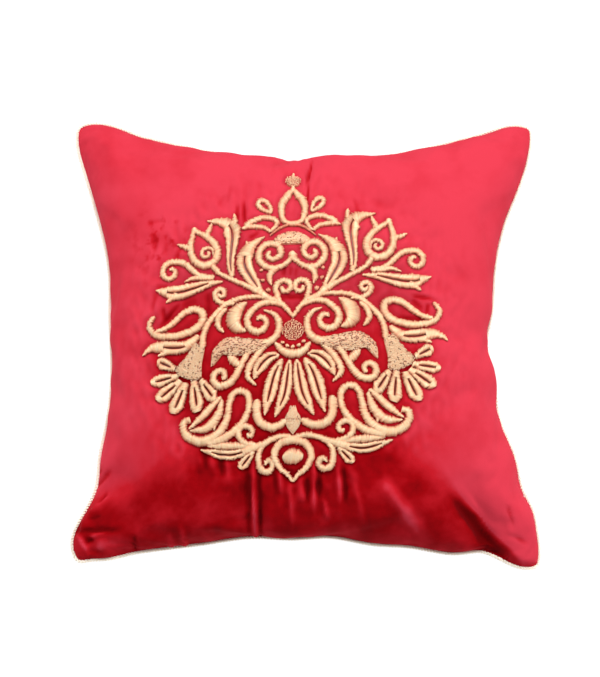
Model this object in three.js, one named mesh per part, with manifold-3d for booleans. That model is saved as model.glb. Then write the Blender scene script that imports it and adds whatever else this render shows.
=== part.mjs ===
// A square velvet cushion, filled, with a corded piping sewn into its seam and a raised round ornament
// embroidered on its front.
// Millimetres. It lies on its back: +X is its right, +Y its top edge and +Z the way its front faces.
// The origin is on the surface it lies on, under the middle of the cushion.

import * as THREE from 'three';
import { mergeVertices } from 'three/addons/utils/BufferGeometryUtils.js';
import Module from 'manifold-3d';

const wasm = await Module();
wasm.setup();

// The cover, measured along the seam from corner to corner.
const COVER_WIDTH = 406;
const COVER_HEIGHT = 396;
const SEAM_THICKNESS = 1.6;

// The filling: how far the two faces stand out from the seam, and how far they swell past it at the sides.
const SEAM_HEIGHT = 47;
const FRONT_CROWN = 70;
const BACK_CROWN = 60;
const SIDE_SWELL = 30;
const FLOOR_BLEND = 4;

// Where the filling pulls each side of the cover in: millimetres along it, and how far in the seam lies.
const DRAWN_IN = {
  left: [
    { along: -198, inset: 6 },
    { along: -185, inset: 0 },
    { along: -165, inset: 8 },
    { along: -148, inset: 19 },
    { along: -134, inset: 25 },
    { along: -105, inset: 27 },
    { along: -50, inset: 33 },
    { along: 10, inset: 33 },
    { along: 64, inset: 30 },
    { along: 108, inset: 20 },
    { along: 153, inset: 7 },
    { along: 180, inset: -1 },
    { along: 198, inset: -1 },
  ],
  right: [
    { along: -198, inset: 0 },
    { along: -180, inset: -1 },
    { along: -151, inset: 5 },
    { along: -134, inset: 14 },
    { along: -101, inset: 22 },
    { along: -66, inset: 34 },
    { along: -30, inset: 36 },
    { along: 0, inset: 44 },
    { along: 21, inset: 40 },
    { along: 64, inset: 35 },
    { along: 108, inset: 25 },
    { along: 150, inset: 8 },
    { along: 180, inset: 0 },
    { along: 198, inset: -1 },
  ],
  top: [
    { along: -203, inset: -1 },
    { along: -190, inset: -5 },
    { along: -170, inset: -1 },
    { along: -148, inset: 10 },
    { along: -95, inset: 21 },
    { along: -30, inset: 30 },
    { along: -8, inset: 36 },
    { along: 12, inset: 31 },
    { along: 80, inset: 25 },
    { along: 132, inset: 13 },
    { along: 165, inset: 4 },
    { along: 185, inset: -3 },
    { along: 203, inset: -1 },
  ],
  bottom: [
    { along: -203, inset: 10 },
    { along: -180, inset: 8 },
    { along: -154, inset: 14 },
    { along: -92, inset: 22 },
    { along: -50, inset: 28 },
    { along: -12, inset: 26 },
    { along: 23, inset: 29 },
    { along: 86, inset: 21 },
    { along: 128, inset: 13 },
    { along: 156, inset: 16 },
    { along: 169, inset: 10 },
    { along: 183, inset: 1 },
    { along: 203, inset: 1 },
  ],
};

// The main folds of the front: each one's middle, heading in degrees, half length, half width and height.
// Towards the seam they fade, from where the filling is less than this share full.
const FOLD_FADE = 1 / 3;
const FOLDS = [
  { fold: 'deep, lower right corner', x: 151, y: -154, heading: -50, reach: 34, spread: 15, rise: -12 },
  { fold: 'lobe beside it', x: 172, y: -139, heading: -58, reach: 34, spread: 15, rise: 5 },
  { fold: 'slanting ridge, lower right', x: 96, y: -146, heading: -45, reach: 30, spread: 9, rise: 4 },
  { fold: 'ridge under the ornament', x: -36, y: -154, heading: 90, reach: 24, spread: 7, rise: 4 },
  { fold: 'trough beside it', x: -51, y: -156, heading: 90, reach: 24, spread: 6, rise: -5 },
  { fold: 'dip in the top side', x: -6, y: 172, heading: 90, reach: 28, spread: 10, rise: -7 },
  { fold: 'pinch in the right side', x: 172, y: -1, heading: 4, reach: 22, spread: 8, rise: -7 },
  { fold: 'pinch low in the left side', x: -172, y: -128, heading: 35, reach: 20, spread: 7, rise: -6 },
  { fold: 'wrinkle, lower left corner', x: -166, y: -158, heading: 12, reach: 30, spread: 7, rise: -5 },
  { fold: 'crease, upper left corner', x: -146, y: 158, heading: -78, reach: 30, spread: 8, rise: -5 },
  { fold: 'crease, upper right corner', x: 150, y: 156, heading: 48, reach: 26, spread: 8, rise: -4 },
];

const PIPING_DIAMETER = 3.2;
const PIPING_SIDES = 6;
const CLEARANCE = 0.3;

// The faces are gridded, closer near the seam, where they turn most.
const GRID = 36;
const GRID_CROWDING = 0.6;

// The ornament is worked in metal thread over padding. Its axis is a little left of the cover's middle.
// The left half, turned over from the right one, is narrower, hangs lower and is turned a little.
const ORNAMENT_AXIS = -10;
const ORNAMENT_HEIGHT = 1.6;
const ORNAMENT_STAND = 0.5;
const LEFT_HALF = { narrowing: 0.975, drop: 0.095, turn: 0.045, turnsFrom: 15 };

// Each stroke's middle line, x and y from the axis, and its width at the start, the middle and the end.
// A scroll then winds into its eye: degrees turned, anticlockwise if above 0, and the radius that is left.
const STROKES = [
  { motif: 'finial_stalk', middle: true, wide: [4, 3, 4], line: [[0, 127], [0, 133]] },
  { motif: 'finial_tip', middle: true, wide: [5, 3, 1], line: [[0, 141], [0, 147]] },
  { motif: 'crown_loop', middle: true, wide: [4, 5, 4],
    line: [[0, 129], [6, 121.5], [8.6, 112], [7.4, 101], [0, 97.5], [-7.4, 101], [-8.6, 112], [-6, 121.5],
      [0, 129]] },
  { motif: 'crown_drop', wide: [3, 3.8, 3],
    line: [[15.5, 107.5], [16.5, 113], [18.5, 119.5], [23, 122], [27, 118.5], [25.5, 113], [20, 110.5],
      [15.5, 107.5]] },
  { motif: 'crown_leaf', wide: [3, 4.2, 3],
    line: [[16, 89], [11, 95], [14, 101], [22, 103], [30, 101], [37, 96.5], [28, 96], [21, 94], [16, 89]] },
  { motif: 'dome', middle: true, wide: [3, 10, 3],
    line: [[-17, 77], [-11, 83], [0, 85.5], [11, 83], [17, 77]] },
  { motif: 'upper_scroll', wide: [4, 5, 4], line: [[0, 66], [5, 59.5], [13, 56], [21, 57.5]],
    eye: { at: [16, 70], turn: 408, inner: 2.7 } },
  { motif: 'upper_knot', middle: true, wide: [7, 8, 3], line: [[0, 70], [0, 61]] },
  { motif: 'upper_tail', wide: [5, 4.5, 1], line: [[13, 56], [18, 51], [17.5, 45], [16.5, 39.5]] },
  { motif: 'upper_barb', wide: [4, 3, 1], line: [[26, 61], [29, 65]] },
  { motif: 'heart', wide: [3, 5, 3.5], line: [[0, 11], [5, 18.5], [11, 25.5], [13.5, 33]],
    eye: { at: [6.2, 38], turn: 345, inner: 2.7 } },
  { motif: 'trunk', wide: [3, 6, 8], line: [[11, 26], [20, 29], [28, 36]] },
  { motif: 'stem', wide: [7, 5, 4], line: [[26, 33], [40, 42], [55, 51], [63, 56.5]] },
  { motif: 'inner_leaf', wide: [5, 13, 1],
    line: [[26, 32], [33, 44], [39.5, 58], [38.5, 70], [32, 80], [22, 86]] },
  { motif: 'inner_leaf_barb', wide: [6, 4, 1], line: [[36, 74], [38, 83]] },
  { motif: 'tall_leaf', wide: [3, 12, 1],
    line: [[51, 51.5], [52.5, 65], [49.5, 79], [48.5, 92], [54, 102.5], [71, 108.5]] },
  { motif: 'tall_leaf_barb', wide: [6, 4, 1], line: [[47, 101], [48, 110.5]] },
  { motif: 'bud_stem', wide: [4, 5, 5], line: [[62, 55.5], [66, 61], [69, 65]] },
  { motif: 'bud', wide: [2, 5.5, 2],
    line: [[84, 104], [82, 97], [75, 91.5], [67.5, 85], [63, 77], [63.2, 70], [68.5, 64.5], [76, 63.5],
      [83, 67], [86.7, 75], [87, 84], [85, 94], [84, 104]] },
  { motif: 'bud_scroll', wide: [1.5, 4, 3], line: [[67, 74], [67.5, 80]],
    eye: { at: [73.5, 76.5], turn: -400, inner: 1.5 } },
  { motif: 'bud_left_barb', wide: [7, 4, 1], line: [[72, 93], [68, 103]] },
  { motif: 'bud_right_barb', wide: [5, 4, 1], line: [[86.5, 83], [99, 88.5]] },
  { motif: 'curl_leaf', wide: [4, 5, 4], line: [[67, 53.5], [78, 55.5], [85, 60.5], [91, 66.5], [98, 71]],
    eye: { at: [105, 63], turn: -381, inner: 2 } },
  { motif: 'curl_leaf_lobe', wide: [6, 6, 1], line: [[68, 53], [81, 55], [92, 55.5], [102, 53]] },
  { motif: 'long_leaf', wide: [3, 12, 1],
    line: [[59, 47.5], [75, 47.5], [90, 44.5], [103, 44.5], [121, 51.5]] },
  { motif: 'long_leaf_barb', wide: [8, 5, 1], line: [[100, 41], [111, 35.5]] },
  { motif: 'stem_scroll', wide: [3, 4.6, 3.5], line: [[54, 27.5], [61, 29.5], [66, 34]],
    eye: { at: [60.5, 38.5], turn: 372, inner: 2.2 } },
  { motif: 'outer_stem', wide: [4, 5, 6],
    line: [[24, 31], [34, 32.5], [45, 31.5], [57, 27], [67, 20.5], [75, 11], [79, 1], [81, -9]] },
  { motif: 'inner_scroll', wide: [3, 6, 4.5], line: [[8, 21.5], [17, 25.5], [26, 25.5], [34, 21]],
    eye: { at: [29, 9.5], turn: -363, inner: 2.2 } },
  { motif: 'counter_scroll', wide: [1, 5.5, 8],
    line: [[25, 19], [17, 15.5], [12.5, 9.5], [12, 2.5], [14.5, -4], [20, -8.5], [28, -10.5]] },
  { motif: 'comma_leaf', wide: [2, 10.5, 2],
    line: [[36, 26], [45, 21.5], [51, 15.5], [51, 9], [46, 4.5], [41, 2.5]] },
  { motif: 'comma_barb', wide: [5, 3, 1], line: [[53, 15], [56, 21]] },
  { motif: 'slim_comma', wide: [2, 5.5, 2], line: [[59, 22], [63.5, 17], [65, 11], [63, 6], [59.5, 3]] },
  { motif: 'paisley', wide: [4, 5.2, 4],
    line: [[122, 27], [125.5, 22.5], [122, 17.2], [114, 15.2], [106, 17], [98, 22.5], [90, 27.3], [83, 28],
      [77.5, 23], [77.5, 16.5], [82, 10], [89, 6.8], [100, 6.5], [111, 7.7], [119, 10.5], [125, 15.5]] },
  { motif: 'outer_leaf', wide: [5, 12, 1],
    line: [[83, 4], [94, -3.5], [105, -4], [117, -1.5], [126, -1], [134, -6]] },
  { motif: 'bell', wide: [9, 16, 27], line: [[83, -7], [87.5, -18], [92.5, -28]] },
  { motif: 'collar', middle: true, wide: [3, 5.5, 3],
    line: [[-15, -11], [-10, -17.5], [0, -21.5], [10, -17.5], [15, -11]] },
  { motif: 'wing', wide: [9, 15.5, 1.5],
    line: [[24, -12], [36, -11], [48, -9], [60, -8], [68, -13], [73, -25]] },
  { motif: 'wing_tail', wide: [5, 3, 1], line: [[56, -13], [56, -20]] },
  { motif: 'wing_scroll', wide: [5, 5.5, 4], line: [[33, -15], [41, -25], [47, -33], [54, -39.5], [62, -42]],
    eye: { at: [64, -34], turn: 319, inner: 3.8 } },
  { motif: 'wing_fill', wide: [2, 9, 1], line: [[45, -30], [52, -26], [56, -20]] },
  { motif: 'hook', wide: [5, 5, 2], line: [[26, -16], [36, -23], [41.5, -31], [41.5, -39], [34, -45]] },
  { motif: 'short_petal', wide: [3, 9.5, 1.5], line: [[13, -22.5], [22, -23.5], [31, -29], [36, -40]] },
  { motif: 'long_outer_petal', wide: [3, 11, 1], line: [[10, -25], [17, -37], [22, -52], [27.5, -70]] },
  { motif: 'long_inner_petal', wide: [3, 10, 2], line: [[3.5, -26.5], [5.5, -42], [9, -57], [18, -73]] },
  { motif: 'diamond', middle: true, wide: [2, 17, 2], line: [[0, -66], [0, -76], [0, -88]] },
  { motif: 'low_u', wide: [5, 6, 7],
    line: [[7, -77], [14, -81], [24, -81.5], [31.5, -77], [34, -68], [33, -58]] },
  { motif: 'low_paisley', wide: [5, 5.5, 3.5],
    line: [[68, -90], [57, -87], [48, -80], [41, -69], [39.5, -58], [43.5, -50.5], [50, -49], [56, -53],
      [58, -63], [61, -74], [68, -83], [80, -87.5], [92, -85.5], [100, -79], [101.5, -71], [97, -66.5],
      [92, -68.5]] },
  { motif: 'low_leaf_upper', wide: [3, 6.5, 1], line: [[63, -50], [73, -60], [83, -70], [95, -76]] },
  { motif: 'low_leaf_lower', wide: [2, 7, 1],
    line: [[63, -51], [66, -63], [74, -72], [86, -78], [94, -77]] },
  { motif: 'low_leaf_barb', wide: [6, 4, 1], line: [[72, -70], [72.5, -79]] },
  { motif: 'bottom_band', wide: [4, 5, 9],
    line: [[-2, -93.6], [10, -90.5], [20, -91.5], [32, -95.5], [46, -98.5]] },
  { motif: 'bottom_leaf', wide: [9, 9, 1],
    line: [[38, -97], [52, -99], [66, -99], [77, -96.5], [86, -92]] },
  { motif: 'bottom_leaf_top', wide: [4, 4, 2], line: [[46, -95], [56, -93], [72, -91]] },
  { motif: 'up_scroll', wide: [4, 4.8, 4], line: [[38, -96], [46, -93.5], [50.5, -87.5]],
    eye: { at: [44.5, -86], turn: 216, inner: 5 } },
  { motif: 'down_curl', wide: [4, 5, 3.5], line: [[24, -93.5], [31, -97], [35, -105], [34, -114]],
    eye: { at: [26.5, -112.5], turn: -230, inner: 3 } },
  { motif: 'small_drop', wide: [2, 8, 6], line: [[38, -100], [43, -105], [50, -112]] },
  { motif: 'bottom_ring', middle: true, wide: [2, 5.5, 2],
    line: [[0, -128], [-6, -122], [-14, -115], [-16, -107], [-11, -98.5], [0, -95.5], [11, -98.5],
      [16, -107], [14, -115], [6, -122], [0, -128]] },
];

// Petals of the drooping flower: base, tip and greatest width.
const PETALS = [
  { base: [105, -22], tip: [119.5, -13.5], wide: 8 },
  { base: [105, -29], tip: [127, -30], wide: 9 },
  { base: [102, -33], tip: [121, -46.5], wide: 10 },
  { base: [96, -35.5], tip: [107.5, -58.5], wide: 11 },
  { base: [89, -35], tip: [86, -61.5], wide: 10 },
  { base: [83, -35], tip: [71.5, -54.5], wide: 9.5 },
];
// A petal's width along it, as a share of its greatest width.
const PETAL_SHAPE = [
  { along: 0, wide: 0.35 },
  { along: 0.45, wide: 0.75 },
  { along: 0.8, wide: 1 },
  { along: 0.93, wide: 0.8 },
  { along: 1, wide: 0.4 },
];

// Round spots: half their width and half their height.
const SPOTS = [
  { spot: 'finial_berry', middle: true, at: [0, 138], radii: [6.8, 6.2] },
  { spot: 'centre_berry', middle: true, at: [0, -2], radii: [9.5, 10] },
  { spot: 'ring_seed', middle: true, at: [0, -107], radii: [9.5, 7] },
  { spot: 'upper_dot', at: [26, 55], radii: [1.8, 1.8] },
  { spot: 'middle_dot', at: [25, 46], radii: [2.2, 2.2] },
  { spot: 'lower_dot', at: [20.5, 36.5], radii: [2.4, 2.8] },
  { spot: 'collar_dot_middle', middle: true, at: [0, -15.4], radii: [1.6, 1.6] },
  { spot: 'collar_dot', at: [5, -14], radii: [1.6, 1.6] },
  { spot: 'collar_dot_outer', at: [9.2, -10.6], radii: [1.5, 1.5] },
];
const SPOT_SIDES = 12;

// A stroke is walked in fine steps, and cut into sections: a new one after this many millimetres or this many
// degrees of turn. A plate spans a few of them. A scroll's eye has a control point after each spiral step.
const FINE_STEP = 1.2;
const SECTION_LENGTH = 11;
const SECTION_TURN = 40;
const PLATE_STEPS = 4;
const SPIRAL_STEP = 45;

// Edges of the joined ornament shorter than this are closed up, unless a face over the sliver area would turn
// by more than the angle with this cosine. Edges over the longest are split, so that it follows the cover.
// Specks smaller than the smallest piece are left out.
const SHORTEST_EDGE = 0.4;
const FACE_TURN = 0.3;
const SLIVER_AREA = 0.05;
const LONGEST_EDGE = 16;
const SMALLEST_PIECE = 3;

const clamp = THREE.MathUtils.clamp;
const degToRad = THREE.MathUtils.degToRad;

// A smooth curve through the rows of a table, read at one place along it.
function tableValue(rows, along, column) {
  const last = rows.length - 1;
  let i = 0;
  while (i < last - 1 && along > rows[i + 1].along) i += 1;
  const slopeAt = (k) => {
    const before = rows[Math.max(k - 1, 0)];
    const after = rows[Math.min(k + 1, last)];
    return (after[column] - before[column]) / (after.along - before.along);
  };
  const step = rows[i + 1].along - rows[i].along;
  const t = clamp((along - rows[i].along) / step, 0, 1);
  const t2 = t * t;
  const t3 = t2 * t;
  return (
    (2 * t3 - 3 * t2 + 1) * rows[i][column] +
    (t3 - 2 * t2 + t) * step * slopeAt(i) +
    (3 * t2 - 2 * t3) * rows[i + 1][column] +
    (t3 - t2) * step * slopeAt(i + 1)
  );
}

// A place on the flat cover, from -1 to 1 each way, carried to where the drawn-in seam leaves it.
function planPoint(u, v) {
  const halfWidth = COVER_WIDTH / 2;
  const halfHeight = COVER_HEIGHT / 2;
  const left = tableValue(DRAWN_IN.left, v * halfHeight, 'inset') * (1 - u) / 2;
  const right = tableValue(DRAWN_IN.right, v * halfHeight, 'inset') * (1 + u) / 2;
  const bottom = tableValue(DRAWN_IN.bottom, u * halfWidth, 'inset') * (1 - v) / 2;
  const top = tableValue(DRAWN_IN.top, u * halfWidth, 'inset') * (1 + v) / 2;
  return new THREE.Vector2(u * halfWidth + left - right, v * halfHeight + bottom - top);
}

// How full the cushion is, from 0 at the seam to 1 in the middle.
function fullness(u, v) {
  return Math.sqrt(Math.max((1 - u * u) * (1 - v * v), 0));
}

// The larger of a height and the floor, with a rounded turn between them.
function liftedToFloor(z) {
  if (z <= -FLOOR_BLEND) return 0;
  if (z >= FLOOR_BLEND) return z;
  return (z + FLOOR_BLEND) ** 2 / (4 * FLOOR_BLEND);
}

// How far the folds raise or sink one place of the front. They die out at the seam.
function foldRise(plan, full) {
  let rise = 0;
  for (const fold of FOLDS) {
    const away = plan.clone().sub(new THREE.Vector2(fold.x, fold.y));
    away.rotateAround(new THREE.Vector2(), -degToRad(fold.heading));
    rise += fold.rise * Math.exp(-((away.x / fold.reach) ** 4) - (away.y / fold.spread) ** 2);
  }
  return rise * Math.min(1, full / FOLD_FADE);
}

// A point of the cushion's skin: side is 1 on the front, -1 on the back.
function skinPoint(u, v, side) {
  const full = fullness(u, v);
  const plan = planPoint(u, v);
  plan.x += SIDE_SWELL * u * Math.abs(u) * full;
  plan.y += SIDE_SWELL * v * Math.abs(v) * full;
  const seam = SEAM_HEIGHT + side * SEAM_THICKNESS / 2;
  const front = seam + FRONT_CROWN * full + foldRise(plan, full);
  return new THREE.Vector3(plan.x, plan.y, side > 0 ? front : liftedToFloor(seam - BACK_CROWN * full));
}

// Even steps from -1 to 1, moved closer together towards both ends.
function crowded(s) {
  return (1 - GRID_CROWDING) * s + GRID_CROWDING * Math.sin(s * Math.PI / 2);
}

// The same surface with one point at each place, so that it closes.
function closedGeometry(geometry) {
  geometry.deleteAttribute('normal');
  geometry.deleteAttribute('uv');
  const merged = mergeVertices(geometry, 1e-3);
  merged.computeVertexNormals();
  return merged;
}

// The filled cover: a box gridded on its two faces, its points moved to the skin.
function cushionGeometry() {
  const box = new THREE.BoxGeometry(2, 2, 2, GRID, GRID, 1);
  const position = box.getAttribute('position');
  for (let i = 0; i < position.count; i += 1) {
    const u = crowded(position.getX(i));
    const v = crowded(position.getY(i));
    const p = skinPoint(u, v, Math.sign(position.getZ(i)));
    position.setXYZ(i, p.x, p.y, p.z);
  }
  return closedGeometry(box);
}

// The seam, once round, as points just outside which the piping lies.
function seamLoop() {
  const steps = Array.from({ length: GRID }, (_, i) => crowded(-1 + 2 * i / GRID));
  const sides = [
    (s) => planPoint(s, -1),
    (s) => planPoint(1, s),
    (s) => planPoint(-s, 1),
    (s) => planPoint(-1, -s),
  ];
  return sides.flatMap((side) => steps.map(side));
}

// The piping: a round tube that follows the seam just outside it.
function pipingGeometry() {
  const seam = seamLoop();
  const count = seam.length;
  const radius = PIPING_DIAMETER / 2;
  const ring = new THREE.TorusGeometry(1, radius, PIPING_SIDES, count);
  const position = ring.getAttribute('position');
  const perRound = count + 1;
  for (let i = 0; i < position.count; i += 1) {
    const station = (i % perRound) % count;
    const turn = Math.floor(i / perRound) / PIPING_SIDES * Math.PI * 2;
    const before = seam[(station + count - 1) % count];
    const after = seam[(station + 1) % count];
    const along = after.clone().sub(before).normalize();
    const outward = new THREE.Vector2(along.y, -along.x);
    const reach = radius + CLEARANCE + radius * Math.cos(turn);
    const at = seam[station].clone().addScaledVector(outward, reach);
    position.setXYZ(i, at.x, at.y, SEAM_HEIGHT + radius * Math.sin(turn));
  }
  return closedGeometry(ring);
}

// A stroke's control points, with its eye's spiral after them.
function strokePoints(stroke) {
  const points = stroke.line.map(([x, y]) => new THREE.Vector2(x, y));
  if (!stroke.eye) return points;
  const eye = new THREE.Vector2(...stroke.eye.at);
  const arm = points.at(-1).clone().sub(eye);
  const steps = Math.round(Math.abs(stroke.eye.turn) / SPIRAL_STEP);
  for (let i = 1; i <= steps; i += 1) {
    const radius = THREE.MathUtils.lerp(arm.length(), stroke.eye.inner, i / steps);
    const turned = degToRad(stroke.eye.turn) * i / steps;
    points.push(arm.clone().setLength(radius).rotateAround(new THREE.Vector2(), turned).add(eye));
  }
  return points;
}

// A stroke's width at t, from 0 to 1 along it: its three widths, joined by quarter sine waves.
function strokeWidth([start, middle, end], t) {
  const swell = Math.sin(Math.PI * t);
  return t < 0.5 ? start + (middle - start) * swell : end + (middle - end) * swell;
}

// A stroke's sections across: left and right edge points.
function strokeSections(stroke) {
  const curve = new THREE.SplineCurve(strokePoints(stroke));
  const fine = Math.ceil(curve.getLength() / FINE_STEP);
  const points = curve.getSpacedPoints(fine);
  const sections = [];
  let travelled = 0;
  let turned = 0;
  points.forEach((at, i) => {
    const before = points[Math.max(i - 1, 0)];
    const after = points[Math.min(i + 1, fine)];
    travelled += at.distanceTo(before);
    const bend = at.clone().sub(before).angleTo(after.clone().sub(at));
    if (i > 0 && i < fine) turned += THREE.MathUtils.radToDeg(bend);
    if (i > 0 && i < fine && travelled < SECTION_LENGTH && turned < SECTION_TURN) return;
    travelled = 0;
    turned = 0;
    const across = after.clone().sub(before).normalize();
    across.set(-across.y, across.x).multiplyScalar(strokeWidth(stroke.wide, i / fine) / 2);
    sections.push({ left: at.clone().add(across), right: at.clone().sub(across) });
  });
  return sections;
}

// A petal's sections across, from its base to its tip.
function petalSections(petal) {
  const base = new THREE.Vector2(...petal.base);
  const run = new THREE.Vector2(...petal.tip).sub(base);
  const across = new THREE.Vector2(-run.y, run.x).normalize().multiplyScalar(petal.wide / 2);
  return PETAL_SHAPE.map(({ along, wide }) => {
    const at = base.clone().addScaledVector(run, along);
    const out = across.clone().multiplyScalar(wide);
    return { left: at.clone().add(out), right: at.clone().sub(out) };
  });
}

// A place of the ornament carried to the cushion's plan, on the right half or the left one.
function ornamentPlan(x, y, half) {
  if (half > 0) return new THREE.Vector2(ORNAMENT_AXIS + x, y);
  const turn = LEFT_HALF.turn * (1 - Math.exp(-Math.max(x, 0) / LEFT_HALF.turnsFrom));
  return new THREE.Vector2(
    ORNAMENT_AXIS - LEFT_HALF.narrowing * x - turn * y,
    y - LEFT_HALF.drop * Math.max(x, 0),
  );
}

// A closed surface as a solid that can be joined to others.
function solidOf(geometry) {
  const closed = closedGeometry(geometry);
  const mesh = new wasm.Mesh({
    numProp: 3,
    vertProperties: closed.getAttribute('position').array,
    triVerts: Uint32Array.from(closed.getIndex().array),
  });
  return new wasm.Manifold(mesh);
}

// A flat plate one unit high through a few sections of a stroke, from a box with as many steps.
function plateThrough(sections, half) {
  const steps = sections.length - 1;
  const box = new THREE.BoxGeometry(steps, 2, 1, steps, 1, 1);
  const position = box.getAttribute('position');
  for (let i = 0; i < position.count; i += 1) {
    const section = sections[Math.round(position.getX(i) + steps / 2)];
    const edge = position.getY(i) > 0 ? section.left : section.right;
    const at = ornamentPlan(edge.x, edge.y, half);
    position.setXYZ(i, at.x, at.y, position.getZ(i));
  }
  if (half < 0) box.getIndex().array.reverse();
  return solidOf(box);
}

// A stroke as plates that each overlap the next by one step, and never curl onto themselves.
function strokePlates(sections, half) {
  const plates = [];
  for (let first = 0; first === 0 || first < sections.length - 2; first += PLATE_STEPS - 1) {
    plates.push(plateThrough(sections.slice(first, first + PLATE_STEPS + 1), half));
  }
  return plates;
}

// A round or oval spot as a flat plate one unit high.
function roundPlate([x, y], [radiusX, radiusY], half) {
  const disc = new THREE.CylinderGeometry(1, 1, 1, SPOT_SIDES);
  disc.rotateX(Math.PI / 2);
  const position = disc.getAttribute('position');
  for (let i = 0; i < position.count; i += 1) {
    const at = ornamentPlan(x + radiusX * position.getX(i), y + radiusY * position.getY(i), half);
    position.setXY(i, at.x, at.y);
  }
  if (half < 0) disc.getIndex().array.reverse();
  return solidOf(disc);
}

// The whole ornament, flat, as one plate for each piece that hangs together.
function ornamentPlates() {
  const plates = [];
  for (const half of [1, -1]) {
    const onHalf = (row) => half > 0 || !row.middle;
    STROKES.filter(onHalf).forEach((stroke) => plates.push(...strokePlates(strokeSections(stroke), half)));
    PETALS.forEach((petal) => plates.push(...strokePlates(petalSections(petal), half)));
    SPOTS.filter(onHalf).forEach((spot) => plates.push(roundPlate(spot.at, spot.radii, half)));
  }
  return wasm.Manifold.union(plates).decompose().filter((plate) => plate.volume() > SMALLEST_PIECE);
}

// A triangle whose marked edges have middle points, as smaller triangles. Each edge's middle is shared.
function splitTriangle(corners, middleOf) {
  const ring = corners.flatMap((corner, i) => [corner, middleOf(corner, corners[(i + 1) % 3])]);
  const start = ring.findIndex((corner, i) => i % 2 === 1 && corner !== undefined);
  if (start < 0) return [corners];
  const turned = [...ring.slice(start), ...ring.slice(0, start)].filter((corner) => corner !== undefined);
  return turned.slice(2).map((corner, i) => [turned[0], turned[i + 1], corner]);
}

// Splits the edges that are too long, again and again, until none is left.
function splitLongEdges(points, triangles) {
  const middles = new Map();
  const middleOf = (a, b) => {
    if (points[a].distanceTo(points[b]) <= LONGEST_EDGE) return undefined;
    const key = `${Math.min(a, b)} ${Math.max(a, b)}`;
    if (!middles.has(key)) {
      middles.set(key, points.length);
      points.push(points[a].clone().lerp(points[b], 0.5));
    }
    return middles.get(key);
  };
  const split = triangles.flatMap((corners) => splitTriangle(corners, middleOf));
  return split.length === triangles.length ? split : splitLongEdges(points, split);
}

// Closes up very short edges, one at a time, where the surface stays one closed sheet and no face turns over.
function closeShortEdges(points, triangles) {
  const kept = new Set();
  const isShort = (a, b) => !kept.has(`${a} ${b}`) && points[a].distanceTo(points[b]) < SHORTEST_EDGE;
  const faceOf = (row) => new THREE.Triangle(...row.map((i) => points[i]));
  const normalOf = (row) => faceOf(row).getNormal(new THREE.Vector3());
  const turnsOver = (row, after) =>
    faceOf(row).getArea() > SLIVER_AREA && normalOf(row).dot(normalOf(after)) < FACE_TURN;
  const around = (rows, at) => new Set(rows.filter((row) => row.includes(at)).flat());
  let rows = triangles;
  for (;;) {
    const edges = rows.flatMap(([a, b, c]) => [[a, b], [b, c], [c, a]]);
    const edge = edges.find(([a, b]) => isShort(a, b));
    if (!edge) return rows;
    const [stays, goes] = edge;
    const moved = (row) => row.map((i) => (i === goes ? stays : i));
    const open = rows.filter((row) => row.includes(goes) && !row.includes(stays));
    const ring = around(rows, goes);
    const shared = [...around(rows, stays)].filter((i) => ring.has(i));
    if (shared.length !== 4 || open.some((row) => turnsOver(row, moved(row)))) {
      kept.add(`${stays} ${goes}`);
    } else {
      rows = rows.filter((row) => !row.includes(goes) || !row.includes(stays)).map(moved);
    }
  }
}

// A flat plate laid over the front of the cover, just clear of it, with its own thickness.
function drapedGeometry(plate, cover) {
  const { vertProperties, triVerts } = plate.getMesh();
  const rowsOfThree = (list) =>
    Array.from({ length: list.length / 3 }, (_, i) => [...list.slice(3 * i, 3 * i + 3)]);
  const points = rowsOfThree(vertProperties).map((row) => new THREE.Vector3(...row));
  const triangles = splitLongEdges(points, closeShortEdges(points, rowsOfThree(triVerts)));
  const down = new THREE.Vector3(0, 0, -1);
  const above = COVER_WIDTH;
  const draped = points.map((point) => {
    const ray = new THREE.Raycaster(new THREE.Vector3(point.x, point.y, above), down);
    const hit = ray.intersectObject(cover)[0];
    const stand = ORNAMENT_STAND + ORNAMENT_HEIGHT * (point.z + 0.5);
    return new THREE.Vector3(point.x, point.y, hit.point.z + stand / hit.face.normal.z);
  });
  return closedGeometry(new THREE.BufferGeometry().setFromPoints(triangles.flat().map((i) => draped[i])));
}

function piece(name, geometry, material) {
  const mesh = new THREE.Mesh(geometry, material);
  mesh.name = name;
  return mesh;
}

const velvet = new THREE.MeshStandardMaterial({ color: 0xc8102e, roughness: 0.85, metalness: 0 });
const cord = new THREE.MeshStandardMaterial({ color: 0xeadbb0, roughness: 0.6, metalness: 0.1 });
const metalThread = new THREE.MeshStandardMaterial({ color: 0xd9b878, roughness: 0.4, metalness: 0.6 });

const cushion = new THREE.Group();
const cover = piece('filled_cover', cushionGeometry(), velvet);
cushion.add(cover);
cushion.add(piece('piping', pipingGeometry(), cord));
ornamentPlates().forEach((plate, i) => {
  cushion.add(piece(`embroidery_${i + 1}`, drapedGeometry(plate, cover), metalThread));
});

// The seam isn't even, so the cushion is moved until its middle is over the origin.
const middle = new THREE.Box3().setFromObject(cushion).getCenter(new THREE.Vector3());
cushion.position.set(-middle.x, -middle.y, 0);

export default cushion;
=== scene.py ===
import math

import bpy
import numpy as np
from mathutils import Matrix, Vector, noise
from mathutils.bvhtree import BVHTree
from mathutils.kdtree import KDTree


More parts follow.
